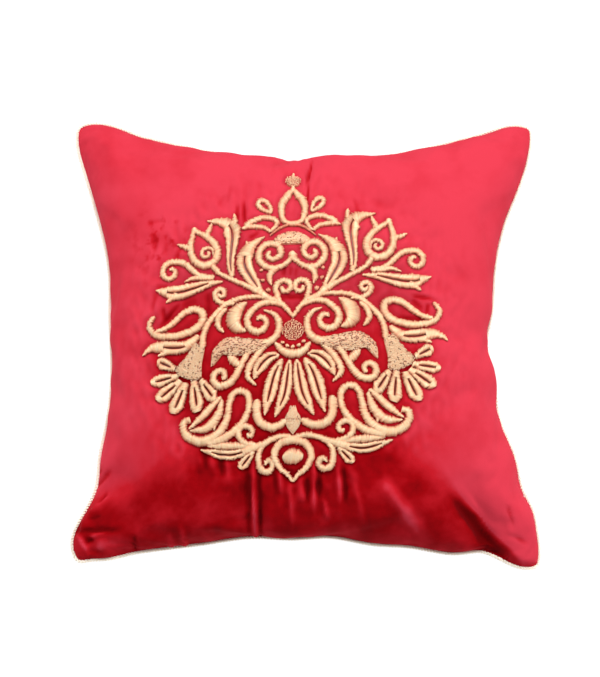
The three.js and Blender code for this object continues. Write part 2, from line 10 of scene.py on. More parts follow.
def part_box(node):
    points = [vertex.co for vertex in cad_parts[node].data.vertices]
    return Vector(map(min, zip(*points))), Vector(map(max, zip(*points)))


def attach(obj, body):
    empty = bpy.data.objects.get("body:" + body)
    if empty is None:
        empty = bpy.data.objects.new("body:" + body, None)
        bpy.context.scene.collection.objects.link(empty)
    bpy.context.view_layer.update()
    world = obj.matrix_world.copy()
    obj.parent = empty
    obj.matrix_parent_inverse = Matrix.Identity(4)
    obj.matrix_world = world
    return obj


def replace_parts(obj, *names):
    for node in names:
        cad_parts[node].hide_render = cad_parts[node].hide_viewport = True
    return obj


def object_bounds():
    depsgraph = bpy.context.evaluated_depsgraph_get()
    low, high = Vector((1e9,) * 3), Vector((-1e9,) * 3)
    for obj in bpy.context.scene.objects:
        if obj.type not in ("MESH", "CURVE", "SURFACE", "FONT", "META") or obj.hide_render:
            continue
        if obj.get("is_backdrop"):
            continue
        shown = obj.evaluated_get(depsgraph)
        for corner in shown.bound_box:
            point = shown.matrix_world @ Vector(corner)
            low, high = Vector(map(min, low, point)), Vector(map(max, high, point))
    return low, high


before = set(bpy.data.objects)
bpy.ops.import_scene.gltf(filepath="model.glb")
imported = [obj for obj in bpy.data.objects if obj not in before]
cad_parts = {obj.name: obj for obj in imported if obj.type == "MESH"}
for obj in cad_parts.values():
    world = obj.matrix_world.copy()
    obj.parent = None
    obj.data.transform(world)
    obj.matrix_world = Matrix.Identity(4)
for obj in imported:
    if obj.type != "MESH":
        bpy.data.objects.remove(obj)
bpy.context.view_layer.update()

# The camera stands two metres off and looks down on the front, from a little towards the bottom edge.
# The cushion's middle is a few pixels right of and below the picture's.
CAMERA_TILT = math.radians(11)
CAMERA_DISTANCE = 2.0
PICTURE_HEIGHT = 677
FOCAL_LENGTH_PIXELS = 2256
LOOKED_AT = Vector((0.0002, -0.0025, 0.05))
LOOKED_AT_PIXEL_OFFSET = (4.5, 5.5)
SENSOR = 36

bpy.ops.object.camera_add(
    location=LOOKED_AT + CAMERA_DISTANCE * Vector((0, -math.sin(CAMERA_TILT), math.cos(CAMERA_TILT))),
    rotation=(CAMERA_TILT, 0, 0),
)
camera = bpy.context.object
camera.data.sensor_width = SENSOR
camera.data.lens = SENSOR * FOCAL_LENGTH_PIXELS / PICTURE_HEIGHT
camera.data.shift_x = -LOOKED_AT_PIXEL_OFFSET[0] / PICTURE_HEIGHT
camera.data.shift_y = LOOKED_AT_PIXEL_OFFSET[1] / PICTURE_HEIGHT
bpy.context.scene.camera = camera
bpy.context.scene.view_settings.view_transform = "Standard"


# The surface under the cushion is a plain white sheet, lit so brightly that hardly a shadow shows on it.
# A material starts as one Principled shader, and its nodes are added by what they do.
def new_material(name, **values):
    material = bpy.data.materials.new(name)
    material.use_nodes = True
    shader = material.node_tree.nodes["Principled BSDF"]
    for socket, value in values.items():
        shader.inputs[socket.replace("_", " ")].default_value = value
    return material, shader


FLOOR_SIZE = 6
FLOOR_DROP = 0.0005

bpy.ops.mesh.primitive_plane_add(size=FLOOR_SIZE, location=(0, 0, -FLOOR_DROP))
floor = bpy.context.object
floor.name = "floor"
paper_white, _ = new_material(
    "paper_white",
    Base_Color=(0.1, 0.1, 0.1, 1),
    Roughness=0.9,
    Emission_Color=(1, 1, 1, 1),
    Emission_Strength=1.0,
)
floor.data.materials.append(paper_white)
floor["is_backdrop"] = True

# Soft lamps stand round the cushion, broad enough to leave no hard shadow in its folds. The strongest is
# beyond the top edge, so the side towards the camera is the darkest.
LAMPS = [
    dict(lamp="beyond_the_top", place=(0, 1.15, 1.9), size=1.3, power=55),
    dict(lamp="on_the_left", place=(-1.9, 0.2, 1.1), size=1.0, power=17),
    dict(lamp="before_the_bottom", place=(0, -1.8, 0.16), size=1.2, power=5),
    dict(lamp="on_the_right", place=(1.9, -0.2, 1.1), size=1.0, power=26),
]
for row in LAMPS:
    place = Vector(row["place"])
    bpy.ops.object.light_add(
        type="AREA", location=place, rotation=(-place).to_track_quat("-Z", "Y").to_euler()
    )
    bpy.context.object.name = row["lamp"]
    bpy.context.object.data.size = row["size"]
    bpy.context.object.data.energy = row["power"]

ROOM_LIGHT = 0.14
world = bpy.data.worlds.new("white_room")
world.use_nodes = True
world.node_tree.nodes["Background"].inputs["Color"].default_value = (1, 1, 1, 1)
world.node_tree.nodes["Background"].inputs["Strength"].default_value = ROOM_LIGHT
bpy.context.scene.world = world


# The filled cover: two squares of crimson velvet, sewn together along the seam and filled with fibre.
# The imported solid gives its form. The velvet is let out inside that form by a cloth simulation, so that it
# wrinkles where the seam and the embroidery hold it. The folds and creases from handling come after that.
MM = 0.001
PART_MIDDLE = (0.2 * MM, -2.5 * MM)
SEAM_HEIGHT = 47 * MM
SEAM_BAND = 1 * MM
RESTING_HEIGHT = 1 * MM
SAME_POINT = 0.01 * MM
ORNAMENT_REACH = 138
ORNAMENT_HOLD = 0.6
CLOTH_FRAMES = 20
CLOTH_PRESSURE = 4
CLOTH_LET_OUT = 0.025
CLOTH_STIFFNESS = 0.8
CLOTH_STEPS_PER_FRAME = 6
WRINKLE_LIMIT = 2.5 * MM
WRINKLE_ROUNDS = 60


def activate(piece):
    bpy.ops.object.select_all(action="DESELECT")
    bpy.context.view_layer.objects.active = piece
    piece.select_set(True)


def apply_modifiers(piece):
    activate(piece)
    for name in [modifier.name for modifier in piece.modifiers]:
        bpy.ops.object.modifier_apply(modifier=name)


def points_of(piece):
    points = np.empty(3 * len(piece.data.vertices))
    piece.data.vertices.foreach_get("co", points)
    return points.reshape(-1, 3)


def normals_of(piece):
    normals = np.empty(3 * len(piece.data.vertices))
    piece.data.vertex_normals.foreach_get("vector", normals)
    return normals.reshape(-1, 3)


def move_points(piece, points):
    piece.data.vertices.foreach_set("co", points.ravel())
    piece.data.update()


# Places seen from above, in millimetres from the middle of the cover.
def in_plan(points):
    return (points[:, :2] - PART_MIDDLE) / MM


def subdivide_smoothly(piece):
    modifier = piece.modifiers.new("finer", "SUBSURF")
    modifier.levels = 1
    modifier.render_levels = 1
    apply_modifiers(piece)


# The mean of each point's neighbours, taken many times over, leaves only the broad form of a set of values.
def broad_form(piece, values, rounds):
    edges = np.empty(2 * len(piece.data.edges), dtype=int)
    piece.data.edges.foreach_get("vertices", edges)
    starts, ends = edges.reshape(-1, 2).T
    count = np.bincount(edges, minlength=len(values))
    for _ in range(rounds):
        total = np.bincount(starts, weights=values[ends], minlength=len(values))
        total += np.bincount(ends, weights=values[starts], minlength=len(values))
        values = (values + total / count) / 2
    return values


cover_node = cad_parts["filled_cover"]
velvet_cover = bpy.data.objects.new("velvet_cover", cover_node.data.copy())
bpy.context.collection.objects.link(velvet_cover)
activate(velvet_cover)
bpy.ops.object.mode_set(mode="EDIT")
bpy.ops.mesh.select_all(action="SELECT")
bpy.ops.mesh.remove_doubles(threshold=SAME_POINT)
bpy.ops.mesh.tris_convert_to_quads(face_threshold=math.pi, shape_threshold=math.pi)
bpy.ops.mesh.select_all(action="DESELECT")
bpy.ops.object.mode_set(mode="OBJECT")
for edge in velvet_cover.data.edges:
    heights = [velvet_cover.data.vertices[i].co.z for i in edge.vertices]
    in_seam = all(abs(height - SEAM_HEIGHT) < SEAM_BAND for height in heights)
    edge.select = in_seam and abs(heights[0] - heights[1]) < SEAM_BAND / 2
bpy.ops.object.mode_set(mode="EDIT")
bpy.ops.transform.edge_crease(value=1)
bpy.ops.object.mode_set(mode="OBJECT")
subdivide_smoothly(velvet_cover)

flat_points = points_of(velvet_cover)
seam_points = np.abs(flat_points[:, 2] - SEAM_HEIGHT) < SEAM_BAND
resting_points = flat_points[:, 2] < RESTING_HEIGHT
held = velvet_cover.vertex_groups.new(name="held")
from_middle = np.linalg.norm(in_plan(flat_points), axis=1)
under_ornament = (from_middle < ORNAMENT_REACH) & (flat_points[:, 2] > SEAM_HEIGHT)
held.add(np.flatnonzero(under_ornament).tolist(), ORNAMENT_HOLD, "REPLACE")
held.add(np.flatnonzero(seam_points | resting_points).tolist(), 1, "REPLACE")
cloth = velvet_cover.modifiers.new("velvet", "CLOTH")
cloth.settings.quality = CLOTH_STEPS_PER_FRAME
cloth.settings.bending_stiffness = CLOTH_STIFFNESS
cloth.settings.use_pressure = True
cloth.settings.uniform_pressure_force = CLOTH_PRESSURE
cloth.settings.shrink_min = -CLOTH_LET_OUT
cloth.settings.vertex_group_mass = "held"
cloth.settings.effector_weights.gravity = 0
cloth.collision_settings.use_collision = False
cloth.point_cache.frame_end = CLOTH_FRAMES
for step in range(1, CLOTH_FRAMES + 1):
    bpy.context.scene.frame_set(step)
apply_modifiers(velvet_cover)
bpy.context.scene.frame_set(1)
swollen = points_of(velvet_cover)
move_points(velvet_cover, flat_points)
outward = normals_of(velvet_cover)
swelling = np.einsum("ij,ij->i", swollen - flat_points, outward)
wrinkles = swelling - broad_form(velvet_cover, swelling, WRINKLE_ROUNDS)
wrinkles = np.clip(wrinkles, -WRINKLE_LIMIT, WRINKLE_LIMIT)
wrinkles[seam_points | resting_points] = 0
move_points(velvet_cover, flat_points + outward * wrinkles[:, None])
subdivide_smoothly(velvet_cover)

# The corners of the seam are rounded a little, and here and there it bulges out. The velvet beside it goes
# with it. A bulge has its place from the middle of the cover, its reach and its way out, in millimetres.
SEAM_ROUNDING = 5
SEAM_PULL = 14 * MM
SECTORS_PER_DEGREE = 2
SEAM_BULGES = [
    ("bottom, right of the middle", (57, -178), 28, (0, -4)),
    ("right, low down", (182, -100), 34, (3, 0)),
    ("left, low down", (-178, -110), 30, (-3, 0)),
    ("lower left corner", (-199, -188), 10, (0, -4.5)),
    ("right, above the corner", (196, -147), 14, (2, 0)),
    ("top, on the left", (-134, 188), 38, (0, 2.6)),
    ("right, high up", (168, 36), 30, (2.2, 0)),
    ("left, high up", (-175, 25), 34, (-1.8, 0)),
]
smooth_points = points_of(velvet_cover)
on_seam = np.flatnonzero(np.abs(smooth_points[:, 2] - SEAM_HEIGHT) < SEAM_BAND)
from_centre = smooth_points[on_seam, :2] - PART_MIDDLE
farthest = {}
for i, (x, y) in zip(on_seam, from_centre):
    sector = round(math.degrees(math.atan2(y, x)) * SECTORS_PER_DEGREE)
    if sector not in farthest or math.hypot(x, y) > farthest[sector][0]:
        farthest[sector] = (math.hypot(x, y), i)
ring = [farthest[sector][1] for sector in sorted(farthest)]
before_rounding = smooth_points[ring, :2]
seam_route_points = before_rounding
for _ in range(SEAM_ROUNDING):
    beside = np.roll(seam_route_points, 1, axis=0) + np.roll(seam_route_points, -1, axis=0)
    seam_route_points = (2 * seam_route_points + beside) / 4
for _, place, reach, out in SEAM_BULGES:
    away = np.linalg.norm(in_plan(seam_route_points) - place, axis=1)
    seam_route_points = seam_route_points + np.exp(-((away / reach) ** 2))[:, None] * out * MM
ring_tree = KDTree(len(ring))
for i, (x, y) in enumerate(before_rounding):
    ring_tree.insert((x, y, SEAM_HEIGHT), i)
ring_tree.balance()
for point in smooth_points:
    _, i, away = ring_tree.find(point)
    if away < 3 * SEAM_PULL:
        point[:2] += (seam_route_points[i] - before_rounding[i]) * math.exp(-((away / SEAM_PULL) ** 2))
move_points(velvet_cover, smooth_points)

# The velvet of the front is made finer where its smallest folds are, so that a pleat two millimetres wide
# still has a round back.
FINE_AREA = (150 * MM, 175 * MM)
FINE_ROUNDING = 0.6
activate(velvet_cover)
for face in velvet_cover.data.polygons:
    near = abs(face.center.x) < FINE_AREA[0] and abs(face.center.y) < FINE_AREA[1]
    face.select = near and face.center.z > SEAM_HEIGHT
bpy.ops.object.mode_set(mode="EDIT")
bpy.ops.mesh.select_mode(type="FACE")
bpy.ops.mesh.subdivide(number_cuts=1, smoothness=FINE_ROUNDING)
bpy.ops.object.mode_set(mode="OBJECT")

# Creases and pleats of the front. Each has its place from the middle of the cover (x and y), its heading in
# degrees, half its length, half its width, and how far it stands up or sinks in, in millimetres.
CREASES = {
    "the pleat by the finial and its left bank": [
        (2.8, 130, 91, 15, 1.1, -2.7), (4.6, 151, 80, 11, 1.1, -2.6), (-1, 134, 90, 27, 3, 0.7),
    ],
    "short ones beside the crown": [
        (-66, 125, 84, 8, 1.8, -0.6), (-73, 119, 60, 6, 1.8, -0.5), (46, 112, 105, 9, 2, -1),
    ],
    "pleats under the ornament, each with its troughs": [
        (-43, -146, 91, 29, 1.9, 3), (-38.5, -146, 91, 28, 2, -2.6), (-48, -142, 91, 25, 2.4, -2.2),
        (-20.5, -130, 95, 10, 1.9, 2.2), (-25, -131, 94, 11, 2.2, -1.2), (-11.5, -147.5, 94, 17, 1.9, 2),
        (-2.5, -135, 98, 10, 3, 1.9), (2.5, -136, 90, 10, 1.8, -2.4), (8, -134, 90, 20, 1.9, 2.6),
        (12.5, -129, 90, 16, 1.9, -2.6), (18.5, -151, 103, 8, 1.9, 1.8), (29.5, -132, 94, 15, 2, 2.8),
        (34.5, -131, 93, 14, 2, -2.4), (46, -142, 104, 19, 2.4, 1.4),
    ],
    "the folds round the lobe at the lower right, and its fullness": [
        (86, -152, -50, 27, 5.5, 3), (147, -163, -49, 25, 4, -4), (163, -181, -40, 15, 7, -2),
        (152, -142, -49, 18, 8, 2), (171, -165, -49, 14, 9, 3), (150.5, -151, -47, 25, 3, 1.2),
    ],
    "pleats and troughs under the left of the ornament": [
        (-66, -116, 98, 13, 2.4, 1.8), (-72, -113, 98, 12, 2.2, -1.6), (-79, -110, 99, 12, 2.4, 1.6),
        (-86, -107, 100, 11, 2.2, -1.4),
    ],
    "puckers in and over the left paisley": [
        (-117, 15.5, 49, 11, 1.9, -2.2), (-122, 17, 98, 5, 1.7, -1.8), (-131, 27.5, 84, 9, 2, -1.2),
        (-83, 24.5, 93, 9, 2.2, -1.6), (-100, 26, 20, 6, 3, -1.4), (-124, 42, -3, 5, 2, -1.3),
    ],
    "puckers in and over the right paisley": [
        (103.5, 31, -7, 10, 1.7, -2.2), (98, 24.5, -38, 6, 2, -1.8), (107, 21.5, 84, 4, 1.7, -2),
        (93.5, 11, -3, 12, 1.9, -1.8),
    ],
    "puckers in the heart and the crown, and by the left tall leaf": [
        (-9, 28.5, 0, 12, 1.8, -2), (-17.5, 52, 82, 4, 1.7, -1.5), (-12, 52, 80, 4, 1.7, -1.5),
        (-7.5, 51, 80, 4, 1.7, -1.5), (-53, 108, 93, 10, 1.5, -2.4), (-59, 107, 88, 7, 1.6, -1.8),
        (-44, 85.5, 30, 5, 1.8, -1.5),
    ],
    "dents in the upper left": [
        (-130, 80.5, 85, 8, 2, -1.1), (-121, 77, 80, 5, 2, -1), (-131, 100.5, 14, 6, 2, -0.8),
        (-111, 70, 70, 5, 1.8, -1.2),
    ],
    "creases in the lobe": [
        (178, -157, -72, 9, 2.2, -1.8), (174, -169, 80, 7, 3.5, -1.8), (184, -174, -21, 9, 2.2, -1.4),
    ],
    "creases low in the left side": [
        (-176, -122, 38, 9, 2.2, -1.8), (-182, -117, 42, 7, 1.8, -1.4),
    ],
    "the crumpled lower left corner": [
        (-179, -167, -2, 17, 2.2, -2.2), (-180, -171, 15, 7, 2, 2), (-192.5, -178, -59, 9, 2.2, 2.4),
        (-187, -175.5, 20, 4, 2.6, -2.4), (-177, -179, 75, 5, 4, 1.6), (-183, -185, -5, 10, 2.6, -0.8),
        (-177, -143.5, 43, 9, 3, 1.4), (-175, -139, 50, 5, 1.6, -2), (-182, -155.5, 5, 4.5, 1.6, -1.6),
    ],
    "pleats and nicks at the bottom seam": [
        (-116, -177.5, 95, 6, 2, 1.4), (-105, -174, 100, 9, 2.4, 1.8), (-147.5, -178, 90, 5, 1.8, -1.8),
    ],
}

front_points = points_of(velvet_cover)
creased = np.zeros(len(front_points))
for x, y, heading, half_length, half_width, rise in sum(CREASES.values(), []):
    heading = math.radians(heading)
    away = in_plan(front_points) - (x, y)
    along = away @ (math.cos(heading), math.sin(heading))
    across = away @ (-math.sin(heading), math.cos(heading))
    creased += rise * np.exp(-((along / half_length) ** 4) - (across / half_width) ** 2)
creased[front_points[:, 2] < SEAM_HEIGHT + SEAM_BAND] = 0
move_points(velvet_cover, front_points + normals_of(velvet_cover) * creased[:, None] * MM)

# The embroidery: gold metal thread laid side by side over padding, across each stroke of the ornament.
# Plans are in millimetres from the ornament's own axis. The left half is the right one turned over, a little
# narrower, lower and turned, as a hand would have it.
ORNAMENT_AXIS = -10
LEFT_HALF = dict(narrowing=0.975, drop=0.095, turn=0.045, turns_from=15)
STITCH_PITCH = 0.62
THREAD_WIDTH = 0.88
THREAD_DEPTH = 0.5
SPIRAL_STEP = 45
SURFACE_STEP = 1.0
SURFACE_REACH = 165
SEWN_DEPTH = 0.7
random_hand = np.random.default_rng(11)


def on_cover(plan, half):
    x, y = plan[..., 0], plan[..., 1]
    if half > 0:
        placed = np.stack([ORNAMENT_AXIS + x, y], axis=-1)
    else:
        turn = LEFT_HALF["turn"] * (1 - np.exp(-np.maximum(x, 0) / LEFT_HALF["turns_from"]))
        left = ORNAMENT_AXIS - LEFT_HALF["narrowing"] * x - turn * y
        placed = np.stack([left, y - LEFT_HALF["drop"] * np.maximum(x, 0)], axis=-1)
    return placed * MM + PART_MIDDLE


# How high the velvet lies at every millimetre of the middle of the front.
surface_steps = np.arange(-SURFACE_REACH, SURFACE_REACH + SURFACE_STEP, SURFACE_STEP) * MM
cover_tree = BVHTree.FromObject(velvet_cover, bpy.context.evaluated_depsgraph_get())
HIGH_ABOVE = 1.0
surface = np.full((len(surface_steps), len(surface_steps)), SEAM_HEIGHT)
for i, y in enumerate(surface_steps):
    for j, x in enumerate(surface_steps):
        hit = cover_tree.ray_cast(Vector((x, y, HIGH_ABOVE)), Vector((0, 0, -1)))[0]
        if hit:
            surface[i, j] = hit.z
slope_y, slope_x = np.gradient(surface, SURFACE_STEP * MM)


# Reads a table of heights or slopes at any places of the plan.
def at_places(table, places):
    column, row = ((places / MM + SURFACE_REACH) / SURFACE_STEP).T
    j = np.clip(column.astype(int), 0, len(surface_steps) - 2)
    i = np.clip(row.astype(int), 0, len(surface_steps) - 2)
    u, v = column - j, row - i
    low = table[i, j] * (1 - u) + table[i, j + 1] * u
    high = table[i + 1, j] * (1 - u) + table[i + 1, j + 1] * u
    return low * (1 - v) + high * v


def standing_on_cover(places, lift):
    level = np.ones(len(places))
    outward = np.stack([-at_places(slope_x, places), -at_places(slope_y, places), level], axis=-1)
    outward /= np.linalg.norm(outward, axis=1)[:, None]
    return np.column_stack([places, at_places(surface, places)]) + outward * lift[:, None]


# One stitch: a thread with a rounded back, cut into short lengths so that it can bow over the padding.
STITCH_CUTS = (-0.4, -0.16, 0.16, 0.4)
STITCH_END = 0.49
STITCH_TAPER = 0.55
bpy.ops.mesh.primitive_cylinder_add(vertices=3, radius=1, depth=1)
stitch = bpy.context.object
bpy.ops.object.mode_set(mode="EDIT")
for cut in STITCH_CUTS:
    bpy.ops.mesh.select_all(action="SELECT")
    bpy.ops.mesh.bisect(plane_co=(0, 0, cut), plane_no=(0, 0, 1))
bpy.ops.mesh.select_all(action="SELECT")
bpy.ops.mesh.quads_convert_to_tris()
bpy.ops.object.mode_set(mode="OBJECT")
stitch_across, stitch_up, stitch_along = points_of(stitch).T
tapered = np.where(np.abs(stitch_along) > STITCH_END, STITCH_TAPER, 1)
stitch_across, stitch_up = stitch_across * tapered, stitch_up * tapered
stitch_faces = np.array([face.vertices[:] for face in stitch.data.polygons])
bpy.data.objects.remove(stitch)


# A smooth line through the points, at shares of its run from the first to the last.
def spline(points, shares):
    points = np.array(points, dtype=float)
    steps = shares * (len(points) - 1)
    i = np.minimum(steps.astype(int), len(points) - 2)
    t = (steps - i)[:, None]
    before, start = points[np.maximum(i - 1, 0)], points[i]
    end, after = points[i + 1], points[np.minimum(i + 2, len(points) - 1)]
    leaving, arriving = (end - before) / 2, (after - start) / 2
    return (
        (2 * start - 2 * end + leaving + arriving) * t**3
        + (-3 * start + 3 * end - 2 * leaving - arriving) * t**2
        + leaving * t
        + start
    )


# The points of a stroke, with those of the eye that its end curls into.
def with_eye(row):
    points = [Vector(point) for point in row["line"]]
    if "eye" in row:
        place, turn, inner = row["eye"]
        arm = points[-1] - Vector(place)
        steps = round(abs(turn) / SPIRAL_STEP)
        for i in range(1, steps + 1):
            angle = math.atan2(arm.y, arm.x) + math.radians(turn) * i / steps
            radius = arm.length + (inner - arm.length) * i / steps
            points.append(Vector(place) + radius * Vector((math.cos(angle), math.sin(angle))))
    return points


# Walks along a stroke: its middle, its left-hand side and its width at even steps. Its ends are rounded.
LEAST_WIDTH = 0.9
LOOK_AHEAD = 0.4
SAMPLES_PER_POINT = 40


def walked(row, pitch):
    points = with_eye(row)
    fine = spline(points, np.linspace(0, 1, SAMPLES_PER_POINT * len(points)))
    travelled = np.concatenate([[0], np.cumsum(np.linalg.norm(np.diff(fine, axis=0), axis=1))])
    count = max(2, round(travelled[-1] / pitch))
    shares = (np.arange(count) + 0.5) / count
    places = shares * travelled[-1]
    behind, middle, ahead = (
        np.stack([np.interp(places + step, travelled, fine[:, k]) for k in (0, 1)], axis=-1)
        for step in (-LOOK_AHEAD, 0, LOOK_AHEAD)
    )
    run = (ahead - behind) / np.linalg.norm(ahead - behind, axis=1)[:, None]
    side = np.stack([-run[:, 1], run[:, 0]], axis=-1)
    if "outline" in row:
        along, wide = np.array(row["outline"]).T
        width = row["wide"] * np.interp(shares, along, wide)
    else:
        start, most, end = row["wide"]
        swell = np.sin(np.pi * shares)
        width = np.where(shares < 0.5, start + (most - start) * swell, end + (most - end) * swell)
        for from_end, blunt in ((places, start), (travelled[-1] - places, end)):
            short = np.clip(1 - from_end / (blunt / 2), 0, 1)
            rounded = np.maximum(blunt * np.sqrt(1 - short**2), LEAST_WIDTH)
            width = np.where(short > 0, np.minimum(width, rounded), width)
    return dict(shares=shares, middle=middle, run=run, side=side, width=width)


PADDING_LEAST = 0.6
PADDING_PER_WIDTH = 0.17
PADDING_MOST = 2.1
ARCH_FULLNESS = 2.4
SLIT_WIDTH = 1.3
PAST_THE_EDGE = 0.1
UNEVEN_END = 0.4
UNEVEN_LEAN = 0.1
EVEN_BELOW_WIDTH = 4
SLANT = 0.2
SLANT_IN_SLIT = 0.6


def padding(width):
    return np.minimum(PADDING_LEAST + PADDING_PER_WIDTH * width, PADDING_MOST)


# The height of an arch at shares of its half width, from 0 at its sides to 1 in its middle.
def arched(shares):
    return (1 - np.abs(shares) ** ARCH_FULLNESS) ** (1 / ARCH_FULLNESS)


# How open a leaf's slit is at each step: 0 outside it, 1 in its middle.
def slit_openness(row, shares):
    if "slit" not in row:
        return np.zeros(len(shares))
    start, end = row["slit"]
    return np.clip(4 * np.minimum(shares - start, end - shares) / (end - start), 0, 1)


# The stitches of one stroke: left and right ends in the plan, and how wide the padding under each is.
def satin_stitches(row):
    walk = walked(row, STITCH_PITCH)
    count = len(walk["shares"])
    openness = slit_openness(row, walk["shares"])
    uneven = random_hand.normal(PAST_THE_EDGE, UNEVEN_END, (2, count))
    uneven *= np.minimum(walk["width"] / EVEN_BELOW_WIDTH, 1)
    uneven_lean = random_hand.uniform(-UNEVEN_LEAN, UNEVEN_LEAN, count)
    lean = walk["run"] * (walk["width"] / 2 * SLANT + uneven_lean)[:, None]
    left = walk["middle"] + walk["side"] * (walk["width"] / 2 + uneven[0])[:, None] + lean
    right = walk["middle"] - walk["side"] * (walk["width"] / 2 + uneven[1])[:, None]
    right += (2 * openness - 1)[:, None] * lean
    split = openness > 0
    gap = walk["side"] * (openness * SLIT_WIDTH / 2)[:, None]
    behind = walk["middle"] - lean * SLANT_IN_SLIT * openness[:, None]
    whole = np.stack([left[~split], right[~split]], axis=1)
    left_row = np.stack([left, behind + gap], axis=1)[split]
    right_row = np.stack([behind - gap, right], axis=1)[split]
    row_width = (walk["width"] - openness * SLIT_WIDTH)[split] / 2
    width = np.concatenate([walk["width"][~split], row_width, row_width])
    return np.concatenate([whole, left_row, right_row]), width


# Short stitches strewn over a stroke, for the parts that are worked like grain.
SEED_MARGIN = 1
SEED_STRAY = dict(across=0.3, along=0.5)
SEED_SINK = 0.2
FLAT_REST = 0.3


def seed_stitches(row):
    length, spacing, wander = row["seed"]
    walk = walked(row, spacing)
    ends, rest = [], []
    for middle, run, side, width in zip(walk["middle"], walk["run"], walk["side"], walk["width"]):
        count = max(1, round((width - SEED_MARGIN) / spacing))
        for k in range(count):
            share = 2 * (k + 0.5) / count - 1
            across = share * (width - SEED_MARGIN) / 2
            across += random_hand.uniform(-SEED_STRAY["across"], SEED_STRAY["across"])
            angle = random_hand.normal(0, wander)
            heading = run * math.cos(angle) + side * math.sin(angle)
            along = random_hand.uniform(-SEED_STRAY["along"], SEED_STRAY["along"])
            at = middle + side * across + run * along
            ends.append((at - heading * length / 2, at + heading * length / 2))
            under = FLAT_REST if "flat" in row else padding(width) * math.sqrt(1 - share**2)
            rest.append(under - SEED_SINK + row.get("raised", 0))
    return np.array(ends), np.array(rest)


def joined_mesh(name, points, triangles):
    mesh = bpy.data.meshes.new(name)
    mesh.from_pydata(points, [], triangles.tolist(), shade_flat=False)
    mesh.update()
    piece = bpy.data.objects.new(name, mesh)
    bpy.context.collection.objects.link(piece)
    return piece


# Copies of the one stitch, each laid between its two ends and bowed over the padding.
BOW_FULLNESS = 0.999


def laid_stitches(ends, rise, ground):
    run = ends[:, 1] - ends[:, 0]
    side = np.stack([-run[:, 1], run[:, 0]], axis=-1) / np.linalg.norm(run, axis=1)[:, None]
    middle = ends.mean(axis=1)
    plan = middle[:, None] + run[:, None] * stitch_along[:, None]
    plan = plan + side[:, None] * (stitch_across * THREAD_WIDTH / 2)[:, None] * MM
    bow = BOW_FULLNESS * arched(2 * stitch_along)
    lift = ground[:, None] + (rise - ground)[:, None] * bow + stitch_up * THREAD_DEPTH / 2
    points = standing_on_cover(plan.reshape(-1, 2), lift.reshape(-1) * MM)
    per_stitch = len(stitch_along)
    triangles = stitch_faces[None] + per_stitch * np.arange(len(ends))[:, None, None]
    return points, triangles.reshape(-1, 3)


# The padding under a stroke: a closed strip, arched across, and with a valley along an open slit.
UNDERLAY_PITCH = 2.2
UNDERLAY_SIDES = np.array([-1, -0.75, -0.4, 0, 0.4, 0.75, 1])
UNDERLAY_WIDTH = 0.92
UNDERLAY_SINK = 0.6


def underlay(row, half):
    walk = walked(row, UNDERLAY_PITCH)
    sides = UNDERLAY_SIDES
    openness = slit_openness(row, walk["shares"])
    openness = np.maximum.reduce([openness, np.roll(openness, 1), np.roll(openness, -1)])
    openness = np.minimum(4 * openness, 1)[:, None]
    arch = arched(sides) * (1 - openness) + arched(2 * np.abs(sides) - 1) * openness
    rise = padding(walk["width"] * (1 - openness[:, 0] / 2))[:, None]
    lift = -SEWN_DEPTH + (rise + SEWN_DEPTH) * arch - THREAD_DEPTH * (UNDERLAY_SINK + openness)
    lift = np.concatenate([lift, np.full((len(rise), 2), -2 * SEWN_DEPTH)], axis=1)
    sides = np.concatenate([sides, [1, -1]])
    across = sides * walk["width"][:, None] / 2 * UNDERLAY_WIDTH
    plan = walk["middle"][:, None] + walk["side"][:, None] * across[..., None]
    points = standing_on_cover(on_cover(plan.reshape(-1, 2), half), lift.reshape(-1) * MM)
    round_it = len(sides)
    ring = np.arange(round_it)
    start = ring[None] + round_it * np.arange(len(rise) - 1)[:, None]
    beside = (ring[None] + 1) % round_it + round_it * np.arange(len(rise) - 1)[:, None]
    triangles = [
        np.stack([start, start + round_it, beside + round_it], axis=-1).reshape(-1, 3),
        np.stack([start, beside + round_it, beside], axis=-1).reshape(-1, 3),
        np.stack([0 * ring[1:-1], ring[1:-1], ring[2:]], axis=-1),
        np.stack([0 * ring[1:-1], ring[2:], ring[1:-1]], axis=-1) + round_it * (len(rise) - 1),
    ]
    triangles = np.concatenate(triangles)
    return points, triangles if half > 0 else triangles[:, ::-1], np.repeat(openness, round_it)


# The thread's colours are painted light and shade of one gold: pale gold on the crests, brown as painted shade
# at the stitch ends and in the slits, with painted red light from the velvet in the darker stops. The
# attribute tone says which.
THREAD_TONES_AND_SHADE = [
    (0.0, (0.13, 0.03, 0.01, 1)),
    (0.25, (0.7, 0.22, 0.13, 1)),
    (0.55, (0.86, 0.42, 0.25, 1)),
    (0.8, (0.9, 0.65, 0.39, 1)),
    (1.0, (0.93, 0.74, 0.53, 1)),
]
TWIST_SHARE = 0.3


def colour_ramp(tree, stops):
    ramp = tree.nodes.new("ShaderNodeValToRGB")
    while len(ramp.color_ramp.elements) < len(stops):
        ramp.color_ramp.elements.new(0.5)
    for stop, (place, colour) in zip(ramp.color_ramp.elements, stops):
        stop.position = place
        stop.color = colour
    return ramp


# Fine noise in a material: it varies the value of an attribute a little, and it roughens the surface.
def fine_noise(tree, scale, detail):
    where = tree.nodes.new("ShaderNodeTexCoord")
    grain = tree.nodes.new("ShaderNodeTexNoise")
    grain.inputs["Scale"].default_value = scale
    grain.inputs["Detail"].default_value = detail
    tree.links.new(where.outputs["Object"], grain.inputs["Vector"])
    return grain


